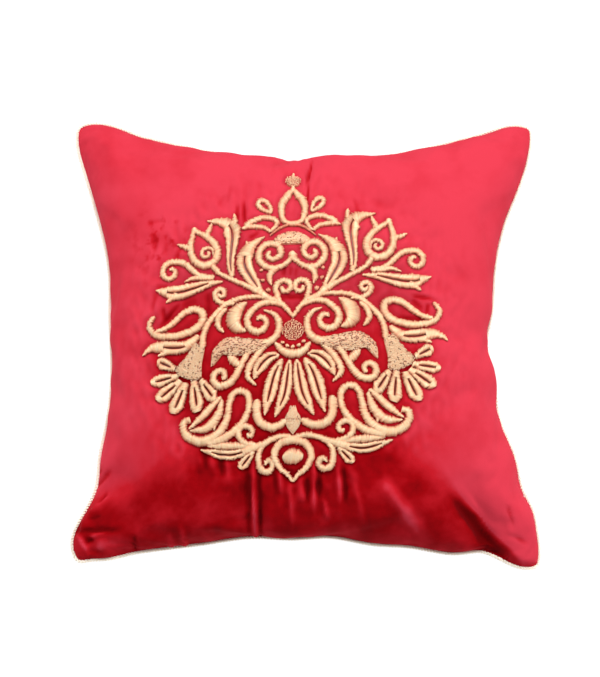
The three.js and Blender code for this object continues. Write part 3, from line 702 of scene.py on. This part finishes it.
def varied_by(tree, grain, share, attribute):
    value = tree.nodes.new("ShaderNodeAttribute")
    value.attribute_name = attribute
    varied = tree.nodes.new("ShaderNodeMath")
    varied.operation = "MULTIPLY_ADD"
    varied.inputs[1].default_value = share
    tree.links.new(grain.outputs["Fac"], varied.inputs[0])
    tree.links.new(value.outputs["Fac"], varied.inputs[2])
    return varied.outputs[0]


def roughened(tree, grain, shader, strength, depth):
    bump = tree.nodes.new("ShaderNodeBump")
    bump.inputs["Strength"].default_value = strength
    bump.inputs["Distance"].default_value = depth
    tree.links.new(grain.outputs["Fac"], bump.inputs["Height"])
    tree.links.new(bump.outputs["Normal"], shader.inputs["Normal"])


gold_thread, gold_shader = new_material("gold_metal_thread", Metallic=0.15, Roughness=0.38)
tree = gold_thread.node_tree
twist = fine_noise(tree, scale=1100, detail=2)
varied_tone = varied_by(tree, twist, TWIST_SHARE, "tone")
around_tone = tree.nodes.new("ShaderNodeMath")
around_tone.operation = "SUBTRACT"
around_tone.inputs[1].default_value = TWIST_SHARE / 2
tree.links.new(varied_tone, around_tone.inputs[0])
gold_light_and_shade = colour_ramp(tree, THREAD_TONES_AND_SHADE)
tree.links.new(around_tone.outputs[0], gold_light_and_shade.inputs["Fac"])
tree.links.new(gold_light_and_shade.outputs["Color"], gold_shader.inputs["Base Color"])
roughened(tree, twist, gold_shader, strength=0.3, depth=0.15 * MM)

# Sews the strokes of one piece, first those of the right half and the middle, then those of the left half.
# A thread's tone varies from stitch to stitch, falls off to its ends as painted shade and is a little lighter
# lower down as painted light.
TONE_OF_THREAD = (0.8, 0.07)
TONE_OF_PADDING = 0.18
TONE_OF_BROWN = 0.08
SHADED_ENDS = (0.45, 1)
SHADED_SEED_ENDS = (0.1, 0.4)
SHADE_ONLY_NEAR_ENDS = 3
PAINTED_LIGHT_PER_METRE_DOWN = 0.5
SEED_RISE = 0.45
SEED_GROUND = 0.1
UNEVEN_RISE = 0.02
all_ends = []
sewn_pieces = {}


def embroider(name, strokes):
    points, triangles, tones = [], [], []
    first = 0
    for half in (1, -1):
        for row in strokes.values():
            if half < 0 and row.get("middle"):
                continue
            if "seed" in row:
                ends, rest = seed_stitches(row)
                rise, ground, end_shades = rest + SEED_RISE, rest - SEED_GROUND, SHADED_SEED_ENDS
            else:
                ends, width = satin_stitches(row)
                rise = padding(width) + random_hand.normal(0, UNEVEN_RISE, len(ends))
                ground, end_shades = np.full(len(ends), -SEWN_DEPTH), SHADED_ENDS
            placed = on_cover(ends, half)
            all_ends.append(placed)
            parts = [laid_stitches(placed, rise, ground)]
            tone = random_hand.normal(*TONE_OF_THREAD, len(ends)) + row.get("lighter", 0)
            # Painted light: the thread is made lighter lower down on the front.
            tone -= PAINTED_LIGHT_PER_METRE_DOWN * placed[..., 1].mean(axis=1)
            tone[random_hand.random(len(ends)) < row.get("brown", 0)] = TONE_OF_BROWN
            # Painted shade: each stitch's tone falls off towards its ends.
            end_shade = random_hand.uniform(*end_shades, (len(ends), 1))
            end_shade = end_shade * np.abs(2 * stitch_along) ** SHADE_ONLY_NEAR_ENDS
            tones.append((np.clip(tone, 0, 1)[:, None] * (1 - end_shade)).ravel())
            if "flat" not in row:
                strip_points, strip_triangles, openness = underlay(row, half)
                parts.append((strip_points, strip_triangles))
                # Painted shade: the padding's tone goes to dark brown in an open slit.
                tones.append(row.get("ground", TONE_OF_PADDING) * (1 - openness))
            for part_points, part_triangles in parts:
                points.append(part_points)
                triangles.append(part_triangles + first)
                first += len(part_points)
    piece = joined_mesh(name, np.concatenate(points), np.concatenate(triangles))
    piece.data.materials.append(gold_thread)
    piece.data.attributes.new("tone", "FLOAT", "POINT").data.foreach_set("value", np.concatenate(tones))
    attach(piece, "root")
    sewn_pieces[name] = piece


# A stroke is given by the points it goes through and by its width: at its start, middle and end, or else the
# most, with an outline of shares. An eye curls its end in, a slit parts it and a seed fills it with grain.
ROUND = [
    (0, 0.25), (0.06, 0.48), (0.15, 0.71), (0.3, 0.92), (0.5, 1),
    (0.7, 0.92), (0.85, 0.71), (0.94, 0.48), (1, 0.25),
]
PETAL_OUTLINE = [(0, 0.45), (0.3, 0.75), (0.6, 1), (0.8, 0.97), (0.93, 0.75), (1, 0.4)]
PETAL_SLIT = (0.22, 0.82)


def stroke(wide, *line, **work):
    return dict(wide=wide, line=line, **work)


def both_sides(*points):
    return points + tuple((-x, y) for x, y in points[-2::-1])


def round_spot(x, y, radius_x, radius_y, **work):
    return stroke(2 * radius_y, (x - radius_x, y), (x + radius_x, y), outline=ROUND, **work)


def petal(base, tip, wide):
    return stroke(wide, base, tip, outline=PETAL_OUTLINE, slit=PETAL_SLIT)


# The crown at the top of the ornament: a berry on a stalk, a pointed loop, drops, leaves and a grained dome.
# The loops are satin stitch over cotton padding. The berry and the dome are short stitches strewn like grain.
embroider("crown_embroidery", {
    "crown_arc": stroke((1.2, 2.8, 1.2), *both_sides((-20, 84.5), (-11, 92), (0, 95.5)), middle=True,
        lighter=-0.35),
    "finial_berry": round_spot(0, 138, 6.8, 6.2, middle=True, seed=(1.6, 1.3, 1.2)),
    "finial_stalk": stroke((4, 3, 4), (0, 127), (0, 133), middle=True),
    "finial_tip": stroke((5, 3, 1), (0, 141), (0, 147), middle=True),
    "crown_loop": stroke(7.2, *both_sides((0, 130), (4.4, 123.5), (8.6, 117.5), (10.3, 111), (9.9, 105),
        (8.4, 99.6), (4.5, 96.6), (0, 95.8)), middle=True, outline=[(0, 0.5), (0.09, 0.92), (0.19, 1),
        (0.29, 0.8), (0.42, 0.64), (0.58, 0.64), (0.71, 0.8), (0.81, 1), (0.91, 0.92), (1, 0.5)]),
    "crown_drop": stroke((2.5, 4.6, 2.5), (16, 107.5), (17, 113), (20, 119), (24.5, 120.8), (26.8, 117.5),
        (24.5, 112.8), (20, 109.8), (16, 107.5)),
    "crown_leaf": stroke((3, 5.2, 3), (17.3, 89.5), (11.6, 97), (15, 102), (23, 103.7), (31, 101.7),
        (37.5, 97.5), (30, 96), (22.5, 94.2), (17.3, 89.5)),
    "crown_leaf_tip": stroke((5, 3.5, 1), (34, 98), (41.5, 95)),
    "dome": stroke((4, 12.5, 4), (-18, 76), (-10, 81), (0, 82.5), (10, 81), (16, 77.5), middle=True,
        seed=(1.8, 1.4, 0.9), ground=0.6, lighter=0.1, brown=0.2),
})

# The heart in the middle, and the scrolls and dots over it. Each is one padded stroke of gold thread, with
# the stitches laid across it. The thread dives through the velvet at the stroke's edges.
embroider("heart_embroidery", {
    "upper_scroll": stroke((4, 6.2, 4.2), (0, 66), (5, 59.5), (13, 56), (21, 57.5),
        eye=((16.5, 69.5), 490, 2)),
    "upper_knot": stroke((7, 8, 3), (0, 70), (0, 61), middle=True),
    "upper_tail": stroke((6, 5.5, 1), (13, 56), (18, 52), (19, 46), (17.5, 40.5)),
    "upper_barb": stroke((4, 3, 1), (26, 61), (29, 65)),
    "heart": stroke((3, 5.4, 3.5), (0, 11), (5, 18.5), (11, 25.5), (13.5, 33), eye=((6.6, 37.5), 430, 1.8)),
    "upper_dot": round_spot(26, 55, 1.4, 1.4, lighter=-0.2),
    "middle_dot": round_spot(25, 46, 1.6, 1.6, lighter=-0.2),
    "lower_dot": round_spot(20.5, 36.5, 1.9, 2.2, lighter=-0.2),
})

# The branches that spread up and out: leaves with a slit along them, a bud, a curling leaf. A leaf is two
# rows of stitches that meet along its slit, where the padding shows, coloured dark brown as painted shade.
embroider("branch_embroidery", {
    "trunk": stroke((3, 6, 8), (11, 26), (20, 29), (28, 36)),
    "stem": stroke((6, 4.6, 4), (25, 33.5), (38, 42), (52, 50), (63, 56.8)),
    "inner_leaf": stroke(14.5, (26, 33), (29.5, 40), (35, 49.5), (39.5, 59), (40, 67.5), (36.5, 75.5),
        (30, 81.5), (22, 85.5), outline=[(0, 0.35), (0.3, 0.8), (0.5, 1), (0.65, 0.95), (0.8, 0.6),
        (1, 0.06)], slit=(0.12, 0.62)),
    "inner_leaf_barb": stroke((6, 4, 1), (36, 74), (38, 83)),
    "tall_leaf": stroke(16.5, (51.5, 52), (52.5, 65.5), (51, 79), (50, 89), (51.5, 97.5), (57.5, 103),
        (72, 106.5), outline=[(0, 0.3), (0.3, 0.5), (0.48, 0.75), (0.6, 1), (0.72, 0.75), (0.85, 0.42),
        (1, 0.06)], slit=(0.07, 0.7)),
    "tall_leaf_barb": stroke((6, 4, 1), (47, 101), (48, 110.5)),
    "bud_stem": stroke((4, 5, 5), (62, 55.5), (66, 61), (69, 65)),
    "bud": stroke((4, 7.2, 4), (83.5, 102), (82.5, 98.5), (76, 94), (69, 88), (64.5, 80.5), (64, 72.5),
        (68, 67.5), (75.5, 65.5), (83, 69.5), (87, 77.5), (87.5, 86), (85.5, 94), (83.5, 102)),
    "bud_scroll": stroke((1.5, 3.8, 3), (67.5, 73.5), (68, 79), eye=((73.3, 76.2), -400, 1.4)),
    "bud_left_barb": stroke((7, 4.5, 1), (73.5, 91.5), (71, 97), (68, 104)),
    "bud_right_barb": stroke((6, 4.5, 1), (87.5, 83), (99.5, 88.5)),
    "curl_leaf": stroke((4, 5.6, 4), (67, 54), (77.3, 56), (83.6, 59.8), (88.9, 65.6), (94.5, 70.5),
        (101, 72.7), eye=((105.8, 64.2), -420, 1.8)),
    "curl_leaf_lobe": stroke((4, 4.6, 1), (68, 53), (78, 54.5), (86, 55.5), (94, 53)),
    "long_leaf": stroke(13.5, (60, 49), (73, 48.5), (86, 46), (98, 44.5), (107.5, 45.5), (120, 50),
        outline=[(0, 0.12), (0.25, 0.55), (0.5, 0.9), (0.7, 1), (0.82, 0.75), (1, 0.06)],
        slit=(0.2, 0.82)),
    "long_leaf_barb": stroke((7, 5, 1), (100, 43), (104, 41.5), (111, 37)),
    "stem_scroll": stroke((3, 5, 3.5), (50, 28), (57.5, 28.7), (64, 31.3), (67.3, 36),
        eye=((62.2, 38), 400, 1.6)),
})

# The scrolls of the middle, and the grained wings under them. The scrolls are padded satin stitch, and the
# wings short stitches strewn along them, with brown ones among the gold.
embroider("wing_embroidery", {
    "outer_stem": stroke((4, 5, 6), (24, 31), (33, 32.2), (45.3, 32), (57, 28.6), (67, 20.8), (75, 12),
        (79, 2.5), (80.2, -8)),
    "inner_scroll": stroke((4, 6.3, 4.6), (8, 21.5), (17, 25.5), (26, 25.5), (34, 21),
        eye=((29, 9.5), -390, 2.2)),
    "counter_scroll": stroke((1.5, 6, 8.5), (25, 19), (17, 15.5), (12.5, 9.5), (12, 2.5), (14.5, -4),
        (20, -8.5), (28, -10.5)),
    "comma_leaf": stroke((2, 14, 1.5), (39.5, 28), (46, 24.1), (50.5, 18.7), (51.5, 13), (50, 8), (46, 4.8),
        (41, 2.5)),
    "comma_barb": stroke((5, 3, 1), (53, 15), (56, 21)),
    "slim_comma": stroke((3, 5.6, 2), (57.5, 24.5), (63, 20), (65.6, 14.5), (65, 9), (60.5, 3.8)),
    "wing": stroke(17.5, (24, -11), (35, -11), (46, -10.5), (57, -9), (66.5, -12.5), (72.5, -24.5),
        outline=[(0, 0.5), (0.25, 0.85), (0.45, 1), (0.6, 0.95), (0.72, 0.62), (0.85, 0.5), (1, 0.08)],
        seed=(1.8, 1.3, 0.4), ground=0.6, lighter=0.1, brown=0.28),
    "wing_point": stroke((5, 5.5, 1), (40, -12.5), (49, -15), (57, -18), seed=(1.8, 1.3, 0.4), ground=0.6,
        lighter=0.1, brown=0.15),
    "wing_scroll": stroke((5, 6.6, 4.2), (38, -14), (42.5, -19.5), (47, -27), (52, -35), (58, -40.5),
        (65.5, -42), eye=((65, -34), 330, 3)),
    "wing_fill": stroke((8, 7.5, 2), (48.5, -26), (53.5, -21.5), (58, -17.5)),
    "hook": stroke((4, 6.2, 2), (24.5, -12), (33.5, -20.5), (39.5, -29), (41, -37), (34, -45)),
})

# The drooping flowers at the sides: a grained bell with petals, a paisley and a leaf over it. The petals are
# padded one by one, each with a slit down its middle.
embroider("side_flower_embroidery", {
    "paisley": stroke((4, 6.9, 4), (122, 27), (127, 21), (125.5, 14.5), (119, 9), (105, 6.3), (93.6, 7.6),
        (83, 11.8), (78.3, 18.8), (80, 24.8), (87, 27.5), (96, 25), (104, 18.8), (112.5, 14.5),
        (121, 13)),
    "outer_leaf": stroke((5, 12, 1), (83, 4), (94, -3.5), (105, -4), (117, -1.5), (126, -1), (134, -6),
        slit=(0.26, 0.62)),
    "outer_leaf_barb": stroke((6, 4, 1), (111, -6), (120, -8.5)),
    "bell": stroke(27, (82.3, -4), (86.8, -14), (95.6, -32), outline=[(0, 0.34), (0.1, 0.45), (0.3, 0.53),
        (0.5, 0.64), (0.7, 0.84), (0.82, 1), (0.92, 0.88), (1, 0.5)], seed=(1.5, 1.25, 1.2), ground=0.7,
        lighter=0.1, brown=0.12),
    "first_petal": petal((105, -22), (120.5, -13.3), 10.5),
    "second_petal": petal((102.5, -28.5), (127, -31), 10.5),
    "third_petal": petal((100, -33), (122.3, -47), 12.5),
    "fourth_petal": petal((96, -35.5), (108.3, -60), 13),
    "fifth_petal": petal((89, -35), (86.6, -61.5), 12.5),
    "sixth_petal": petal((83, -35), (70.8, -53.5), 11.5),
})

# The flower in the centre: a berry in a collar, with long petals hanging from it. The berry is worked flat,
# with velvet between its stitches. The collar and the petals are padded satin stitch.
embroider("centre_flower_embroidery", {
    "centre_berry": round_spot(0, -1, 9.3, 9.6, middle=True, flat=True, seed=(2.1, 1.75, 1.2)),
    "centre_berry_tip": stroke((4, 3, 1), (0, 7.5), (0, 11), middle=True, flat=True, seed=(1.5, 1.4, 1)),
    "collar": stroke((3.5, 8, 3.5), *both_sides((-15, -11.5), (-8.5, -19), (0, -21.5)), middle=True),
    "short_petal": stroke((4, 11.5, 2), (12.5, -21.5), (21, -22), (29.5, -28.5), (36, -39.5),
        slit=(0.08, 0.78)),
    "long_outer_petal": stroke((4, 13, 1.5), (10, -25), (17, -37), (22, -52), (27.5, -71),
        slit=(0.12, 0.78)),
    "long_inner_petal": stroke((4, 12, 2), (3.5, -26.5), (5.5, -42), (9, -57), (18, -73.5),
        slit=(0.06, 0.8)),
    "diamond": stroke(15, (0, -66), (0, -76), (0, -90), middle=True, outline=[(0, 0.35), (0.1, 0.5),
        (0.2, 0.52), (0.35, 0.9), (0.47, 1), (0.62, 0.92), (0.8, 0.6), (1, 0.06)], seed=(2, 1.35, 0.5),
        ground=0.7, lighter=0.1, brown=0.05),
    "diamond_dots": stroke(2.6, (-6, -77), (6, -77), middle=True, flat=True, outline=[(0, 1), (1, 1)],
        seed=(1.2, 1.9, 1.5), lighter=-0.62, raised=2.4),
    "collar_dot_middle": round_spot(0, -15.4, 1.6, 1.6, middle=True),
    "collar_dot": round_spot(5, -14, 1.6, 1.6),
    "collar_dot_outer": round_spot(9.2, -10.6, 1.5, 1.5),
})

# The lower paisleys with a pair of leaves in each, and the band that hangs under the flower. All are padded
# satin stitch, thickest where two strokes run together.
embroider("low_paisley_embroidery", {
    "low_u": stroke((6, 7.5, 8.5), (7.5, -77), (15.5, -81.5), (25.5, -81), (32, -76), (34.5, -68),
        (34, -57)),
    "low_paisley": stroke(9, (79, -88.8), (69, -87.3), (60, -84.3), (51.8, -79), (46, -73), (41.5, -64),
        (41, -54.5), (45, -49), (50.5, -48), (56, -51.5), (59, -61), (61.5, -71.5), (68, -80.5),
        (76.5, -85.5), (85.5, -86.5), (95, -82.5), (100, -75), (99, -68.5), (93, -67.5),
        outline=[(0, 0.85), (0.12, 0.8), (0.28, 0.62), (0.55, 0.65), (0.68, 0.85), (0.75, 1),
        (0.85, 0.85), (1, 0.6)]),
    "low_leaf_upper": stroke((3.5, 6.8, 1.5), (65.5, -51), (74.5, -58.8), (83, -66.4), (95, -74.6)),
    "low_leaf_lower": stroke((3, 8.4, 1.5), (64.5, -53.5), (67.4, -63.7), (73.2, -72), (81.5, -76.8),
        (94, -76.5)),
    "low_leaf_barb": stroke((6, 4, 1), (72, -70), (72.5, -79)),
})

# The spray at the bottom: a band with leaves and curls, and a ring with a padded seed in it. It is sewn last
# and closes the round of the ornament.
embroider("bottom_spray_embroidery", {
    "bottom_band": stroke((4, 5, 9), (-2, -93.6), (10, -90.5), (20, -91.5), (32, -95.5), (46, -98.5)),
    "bottom_leaf": stroke((7, 8, 1), (38.5, -97), (49.5, -100), (60.5, -101), (71.5, -98.5), (85.5, -93.5),
        slit=(0.2, 0.8)),
    "bottom_leaf_top": stroke((4, 6.8, 2), (44, -95.5), (53, -94), (62.5, -93), (72, -92), (79, -91.5)),
    "up_scroll": stroke((4, 5.5, 3.5), (36, -94.5), (43, -93.8), (48.5, -90.8), (51.6, -85.5), (51, -80.5),
        (45.8, -77.9), (39.8, -81), (39, -85.2), (41.8, -87), (44, -84.8)),
    "down_curl": stroke((4, 5.6, 4), (24, -93.5), (31, -97), (34.5, -105), (33.5, -114),
        eye=((26.5, -112.5), -350, 1.6)),
    "band_petal": petal((38.8, -100.3), (51.5, -113), 8.8),
    "bottom_ring": stroke((3, 7, 3), *both_sides((0, -129), (-5, -123), (-11, -118), (-16, -108),
        (-11.5, -98), (0, -94.5)), middle=True),
    "ring_seed": round_spot(0, -108.5, 8.7, 6.8, middle=True),
})

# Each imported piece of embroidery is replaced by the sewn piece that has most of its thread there. The packed
# ones are plain raised bands in the same places.
sewn_points = {name: points_of(piece) for name, piece in sewn_pieces.items()}
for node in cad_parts:
    if node.startswith("embroidery_"):
        low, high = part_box(node)
        inside = {
            name: np.all((points[:, :2] > low[:2]) & (points[:, :2] < high[:2]), axis=1).sum()
            for name, points in sewn_points.items()
        }
        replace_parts(sewn_pieces[max(inside, key=inside.get)], node)


# The velvet by the embroidery. The stitches draw it down beside them, and between them it puffs up and
# puckers, more across the ornament than down it. Nearness to the stitches also gives painted shade on the
# velvet beside them.
DRAWN_DOWN = 1.3
DRAWN_WIDTH = 2.6
PUCKER_HEIGHT = 1.9
PUCKER_SPACING = (6, 10.8)
PUCKER_LAYER = 3
PUCKER_FREE = 4
PUCKER_REACH = 24
PUCKERS_BEYOND = 40
PUCKERS_ABOVE_SEAM = 5 * MM
SHADE_BY_STITCHES_WIDTH = 3
stitch_places = np.concatenate([np.concatenate([e[:, 0], e.mean(axis=1), e[:, 1]]) for e in all_ends])
near_stitches = KDTree(len(stitch_places))
for place in stitch_places:
    near_stitches.insert((*place, 0), 0)
near_stitches.balance()
velvet_points = points_of(velvet_cover)
velvet_normals = normals_of(velvet_cover)
plan = in_plan(velvet_points)
puckered, shade_by_stitches, drawn = np.zeros((3, len(velvet_points)))
above_seam = velvet_points[:, 2] > SEAM_HEIGHT + PUCKERS_ABOVE_SEAM
by_ornament = np.linalg.norm(plan, axis=1) < ORNAMENT_REACH + PUCKERS_BEYOND
for i in np.flatnonzero(by_ornament & above_seam):
    x, y = velvet_points[i, :2]
    away = near_stitches.find((x, y, 0))[2] / MM
    drawn[i] = DRAWN_DOWN * math.exp(-((away / DRAWN_WIDTH) ** 2))
    shade_by_stitches[i] = math.exp(-((away / SHADE_BY_STITCHES_WIDTH) ** 2))
    fading = (1 - math.exp(-away / PUCKER_FREE)) * math.exp(-((away / PUCKER_REACH) ** 2))
    pucker = noise.noise(Vector((x / MM / PUCKER_SPACING[0], y / MM / PUCKER_SPACING[1], PUCKER_LAYER)))
    puckered[i] = PUCKER_HEIGHT * pucker * fading
move_points(velvet_cover, velvet_points + velvet_normals * (puckered - drawn)[:, None] * MM)

# Painted light and shade on the velvet: a bright rose red where painted light falls, and a deep crimson as
# painted shade low on the front, under a line that is soft but for the lobe, and partly inside the ornament.
# Places are in millimetres from the middle of the cover. The line's points have a third value, its softness.
SHADED_BELOW = [
    (-205, -150, 14), (-158, -134, 20), (-134, -127, 22), (-110, -108, 28),
    (-80, -75, 35), (60, -75, 35), (97, -110, 28), (117, -126, 16),
    (134, -139, 6), (151, -155, 3), (168, -173, 3.5), (190, -196, 5),
]
PAINTED_SHADE_PATCHES = [
    dict(x=119, y=-92, wide=27, tall=30, share=0.36),
    dict(x=-118, y=-95, wide=25, tall=25, share=0.2),
]
PAINTED_SHADE_LEFT = dict(share=0.14, across=(-90, -150))
PAINTED_LIGHT_AT_THE_SEAM = dict(share=0.3, down=(-166, -182))
ORNAMENT_MIDDLE = (-10, -5)
ORNAMENT_EDGE = (132, 100)
PAINTED_SHADE_LOW_IN_ORNAMENT = dict(down=(60, -50), over=0.05, low=0.7, less_to_the_right=0.0015)
CREST_LIGHT_TROUGH_SHADE = 0.3
PUCKER_LIGHT_AND_SHADE = 0.14
SHADE_BY_STITCHES_SHARE = 0.1
NAP_OF_BACK = 0.6
MARK_LAYERS = (0.8, 2.1, 4)
CRUSHED = dict(size=24, layer=0, share=0.08, share_low=0.3)
RUBBED_AND_SHADED_PLACE = dict(x=-125, y=80, wide=20, tall=26)
RUBBED_AND_SHADED = dict(size=8, layer=9, above=0.1)
PAINTED_SHADE_HIGH_IN_ORNAMENT = dict(share=0.28, less_at_crown=0.7, up=(50, 95))


def eased(span, values):
    share = np.clip((values - span[0]) / (span[1] - span[0]), 0, 1)
    return share * share * (3 - 2 * share)


def patch(row):
    return np.exp(-(((plan_x - row["x"]) / row["wide"]) ** 2) - ((plan_y - row["y"]) / row["tall"]) ** 2)


# Crushed or rubbed marks of a size: noise of a few layers, each twice as fine as the one before.
def marks(row):
    places = [Vector((x, y, row["layer"])) / row["size"] for x, y in plan]
    return np.array([noise.fractal(place, *MARK_LAYERS) for place in places])


plan_x, plan_y = plan.T
line_x, line_y, line_softness = np.array(SHADED_BELOW).T
softness = np.interp(plan_x, line_x, line_softness)
low_part = eased((softness, -softness), plan_y - np.interp(plan_x, line_x, line_y))
inside = eased(ORNAMENT_EDGE, np.linalg.norm(plan - ORNAMENT_MIDDLE, axis=1))
low_inside = eased(PAINTED_SHADE_LOW_IN_ORNAMENT["down"], plan_y)
shade_low_in_ornament = PAINTED_SHADE_LOW_IN_ORNAMENT["low"] - PAINTED_SHADE_LOW_IN_ORNAMENT["less_to_the_right"] * plan_x
in_ornament = inside * (PAINTED_SHADE_LOW_IN_ORNAMENT["over"] + shade_low_in_ornament * low_inside)
# Painted shade towards the left side, and in patches at the right and the left.
left_part = PAINTED_SHADE_LEFT["share"] * eased(PAINTED_SHADE_LEFT["across"], plan_x)
nap_and_painted_shade = 1 - np.maximum(low_part, in_ornament) - left_part * (1 - low_part)
for row in PAINTED_SHADE_PATCHES:
    nap_and_painted_shade -= row["share"] * patch(row) * (1 - low_part)
# Painted light low down by the bottom seam.
nap_and_painted_shade += PAINTED_LIGHT_AT_THE_SEAM["share"] * low_part * eased(PAINTED_LIGHT_AT_THE_SEAM["down"], plan_y)
# Painted light on crests and puckers, painted shade in troughs and beside the stitches.
nap_and_painted_shade += CREST_LIGHT_TROUGH_SHADE * creased + PUCKER_LIGHT_AND_SHADE * puckered - SHADE_BY_STITCHES_SHARE * shade_by_stitches
nap_and_painted_shade += marks(CRUSHED) * (CRUSHED["share"] + CRUSHED["share_low"] * low_part)
# Darker blotches in the upper left, where the pile is rubbed: painted shade of small dents.
nap_and_painted_shade -= patch(RUBBED_AND_SHADED_PLACE) * np.clip(marks(RUBBED_AND_SHADED) - RUBBED_AND_SHADED["above"], 0, 1)
nap_and_painted_shade[velvet_points[:, 2] < SEAM_HEIGHT - SEAM_BAND] = NAP_OF_BACK
# Painted shade over the velvet inside the ornament, less towards the crown and not in its low part.
less_shade = PAINTED_SHADE_HIGH_IN_ORNAMENT["less_at_crown"] * eased(PAINTED_SHADE_HIGH_IN_ORNAMENT["up"], plan_y)
shade = 1 - PAINTED_SHADE_HIGH_IN_ORNAMENT["share"] * inside * (1 - low_inside) * (1 - less_shade)
for name, values in (("nap_and_painted_shade", np.clip(nap_and_painted_shade, -0.5, 1)), ("shade", shade)):
    velvet_cover.data.attributes.new(name, "FLOAT", "POINT").data.foreach_set("value", values)

# The pile's colours are one velvet painted lit and shaded: from painted shade deep in a fold, through the
# painted shade low on the front, to a bright rose red with painted light and sheen.
BRUSHED_SHARE = 0.5
PILE_LIGHT_AND_SHADE_COLOURS = [
    (0.0, (0.12, 0.0003, 0.001, 1)),
    (0.33, (0.275, 0.0008, 0.003, 1)),
    (0.67, (0.44, 0.008, 0.016, 1)),
    (1.0, (0.58, 0.036, 0.061, 1)),
]
velvet, velvet_shader = new_material(
    "crimson_velvet",
    Roughness=0.9,
    Specular_IOR_Level=0.03,
    Sheen_Weight=0.12,
    Sheen_Roughness=0.45,
    Sheen_Tint=(1, 0.12, 0.18, 1),
)
tree = velvet.node_tree
brushed = varied_by(tree, fine_noise(tree, scale=28, detail=5), BRUSHED_SHARE, "nap_and_painted_shade")
shade_range = tree.nodes.new("ShaderNodeMapRange")
shade_range.inputs["From Min"].default_value = -BRUSHED_SHARE / 2
shade_range.inputs["From Max"].default_value = 1 + BRUSHED_SHARE / 2
tree.links.new(brushed, shade_range.inputs["Value"])
painted_pile_light = colour_ramp(tree, PILE_LIGHT_AND_SHADE_COLOURS)
tree.links.new(shade_range.outputs["Result"], painted_pile_light.inputs["Fac"])
# The shade attribute darkens the pile's colour: painted shade inside the ornament.
held = tree.nodes.new("ShaderNodeAttribute")
held.attribute_name = "shade"
shaded = tree.nodes.new("ShaderNodeVectorMath")
shaded.operation = "SCALE"
tree.links.new(painted_pile_light.outputs["Color"], shaded.inputs[0])
tree.links.new(held.outputs["Fac"], shaded.inputs["Scale"])
tree.links.new(shaded.outputs[0], velvet_shader.inputs["Base Color"])
pile_ends = fine_noise(tree, scale=900, detail=3)
roughened(tree, pile_ends, velvet_shader, strength=0.35, depth=0.4 * MM)
velvet_cover.data.materials.clear()
velvet_cover.data.materials.append(velvet)
for face in velvet_cover.data.polygons:
    face.use_smooth = True
    face.material_index = 0
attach(velvet_cover, "root")
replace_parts(velvet_cover, "filled_cover")

# The piping: a thin cream cotton cord of two plies laid round each other. It is sewn into the seam between
# the two squares of velvet, so it follows the seam all round.
CORD_DIAMETER = 3.2 * MM
PLY_TURN_LENGTH = 5.2 * MM
PLY_SIDES = 7
PLY_STEPS = 10
PLY_FULLNESS = 1.12
CORD_INSET = 0.4 * MM
CREAM = [(0.3, (0.9, 0.8, 0.64, 1)), (0.7, (1, 0.96, 0.87, 1))]
seam = seam_route_points
run = np.roll(seam, -1, axis=0) - np.roll(seam, 1, axis=0)
run /= np.linalg.norm(run, axis=1)[:, None]
outward = np.stack([run[:, 1], -run[:, 0]], axis=-1)
route = seam + outward * (CORD_DIAMETER / 2 - CORD_INSET)
curve = bpy.data.curves.new("seam_route", "CURVE")
curve.dimensions = "3D"
curve.twist_mode = "Z_UP"
line = curve.splines.new("POLY")
line.points.add(len(route) - 1)
for point, (x, y) in zip(line.points, route):
    point.co = (x, y, SEAM_HEIGHT, 1)
line.use_cyclic_u = True
seam_route = bpy.data.objects.new("seam_route", curve)
bpy.context.collection.objects.link(seam_route)
length = np.linalg.norm(np.roll(route, -1, axis=0) - route, axis=1).sum()
turns = round(length / PLY_TURN_LENGTH)
bpy.ops.object.select_all(action="DESELECT")
for side in (1, -1):
    bpy.ops.mesh.primitive_circle_add(
        vertices=PLY_SIDES,
        radius=CORD_DIAMETER / 4 * PLY_FULLNESS,
        location=(0, side * CORD_DIAMETER / 4, 0),
        rotation=(0, math.pi / 2, 0),
    )
    bpy.context.object.name = f"ply_{side}"
plies = [bpy.data.objects["ply_1"], bpy.data.objects["ply_-1"]]
for ply in plies:
    ply.select_set(True)
bpy.context.view_layer.objects.active = plies[0]
bpy.ops.object.join()
piping = plies[0]
piping.name = "piping_cord"
bpy.ops.object.transform_apply(location=True, rotation=True, scale=True)
screw = piping.modifiers.new("laid", "SCREW")
screw.axis = "X"
screw.angle = 2 * math.pi
screw.screw_offset = length / turns
screw.steps = PLY_STEPS
screw.render_steps = PLY_STEPS
screw.use_merge_vertices = False
repeat = piping.modifiers.new("repeated", "ARRAY")
repeat.use_relative_offset = False
repeat.use_constant_offset = True
repeat.constant_offset_displace = (length / turns, 0, 0)
repeat.count = turns
repeat.use_merge_vertices = True
repeat.merge_threshold = 2 * SAME_POINT
bend = piping.modifiers.new("round_the_seam", "CURVE")
bend.object = seam_route
bend.deform_axis = "POS_X"
apply_modifiers(piping)
bpy.data.objects.remove(seam_route)
bpy.ops.object.mode_set(mode="EDIT")
bpy.ops.mesh.select_all(action="SELECT")
bpy.ops.mesh.remove_doubles(threshold=5 * SAME_POINT)
bpy.ops.mesh.normals_make_consistent(inside=False)
bpy.ops.object.mode_set(mode="OBJECT")
bpy.ops.object.shade_smooth()
cream_cord, cord_shader = new_material("cream_cord", Roughness=0.6, Sheen_Weight=0.2)
tree = cream_cord.node_tree
fibres = fine_noise(tree, scale=700, detail=4)
creams = colour_ramp(tree, CREAM)
tree.links.new(fibres.outputs["Fac"], creams.inputs["Fac"])
tree.links.new(creams.outputs["Color"], cord_shader.inputs["Base Color"])
roughened(tree, fibres, cord_shader, strength=0.4, depth=0.3 * MM)
piping.data.materials.append(cream_cord)
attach(piping, "root")
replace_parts(piping, "piping")

low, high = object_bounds()
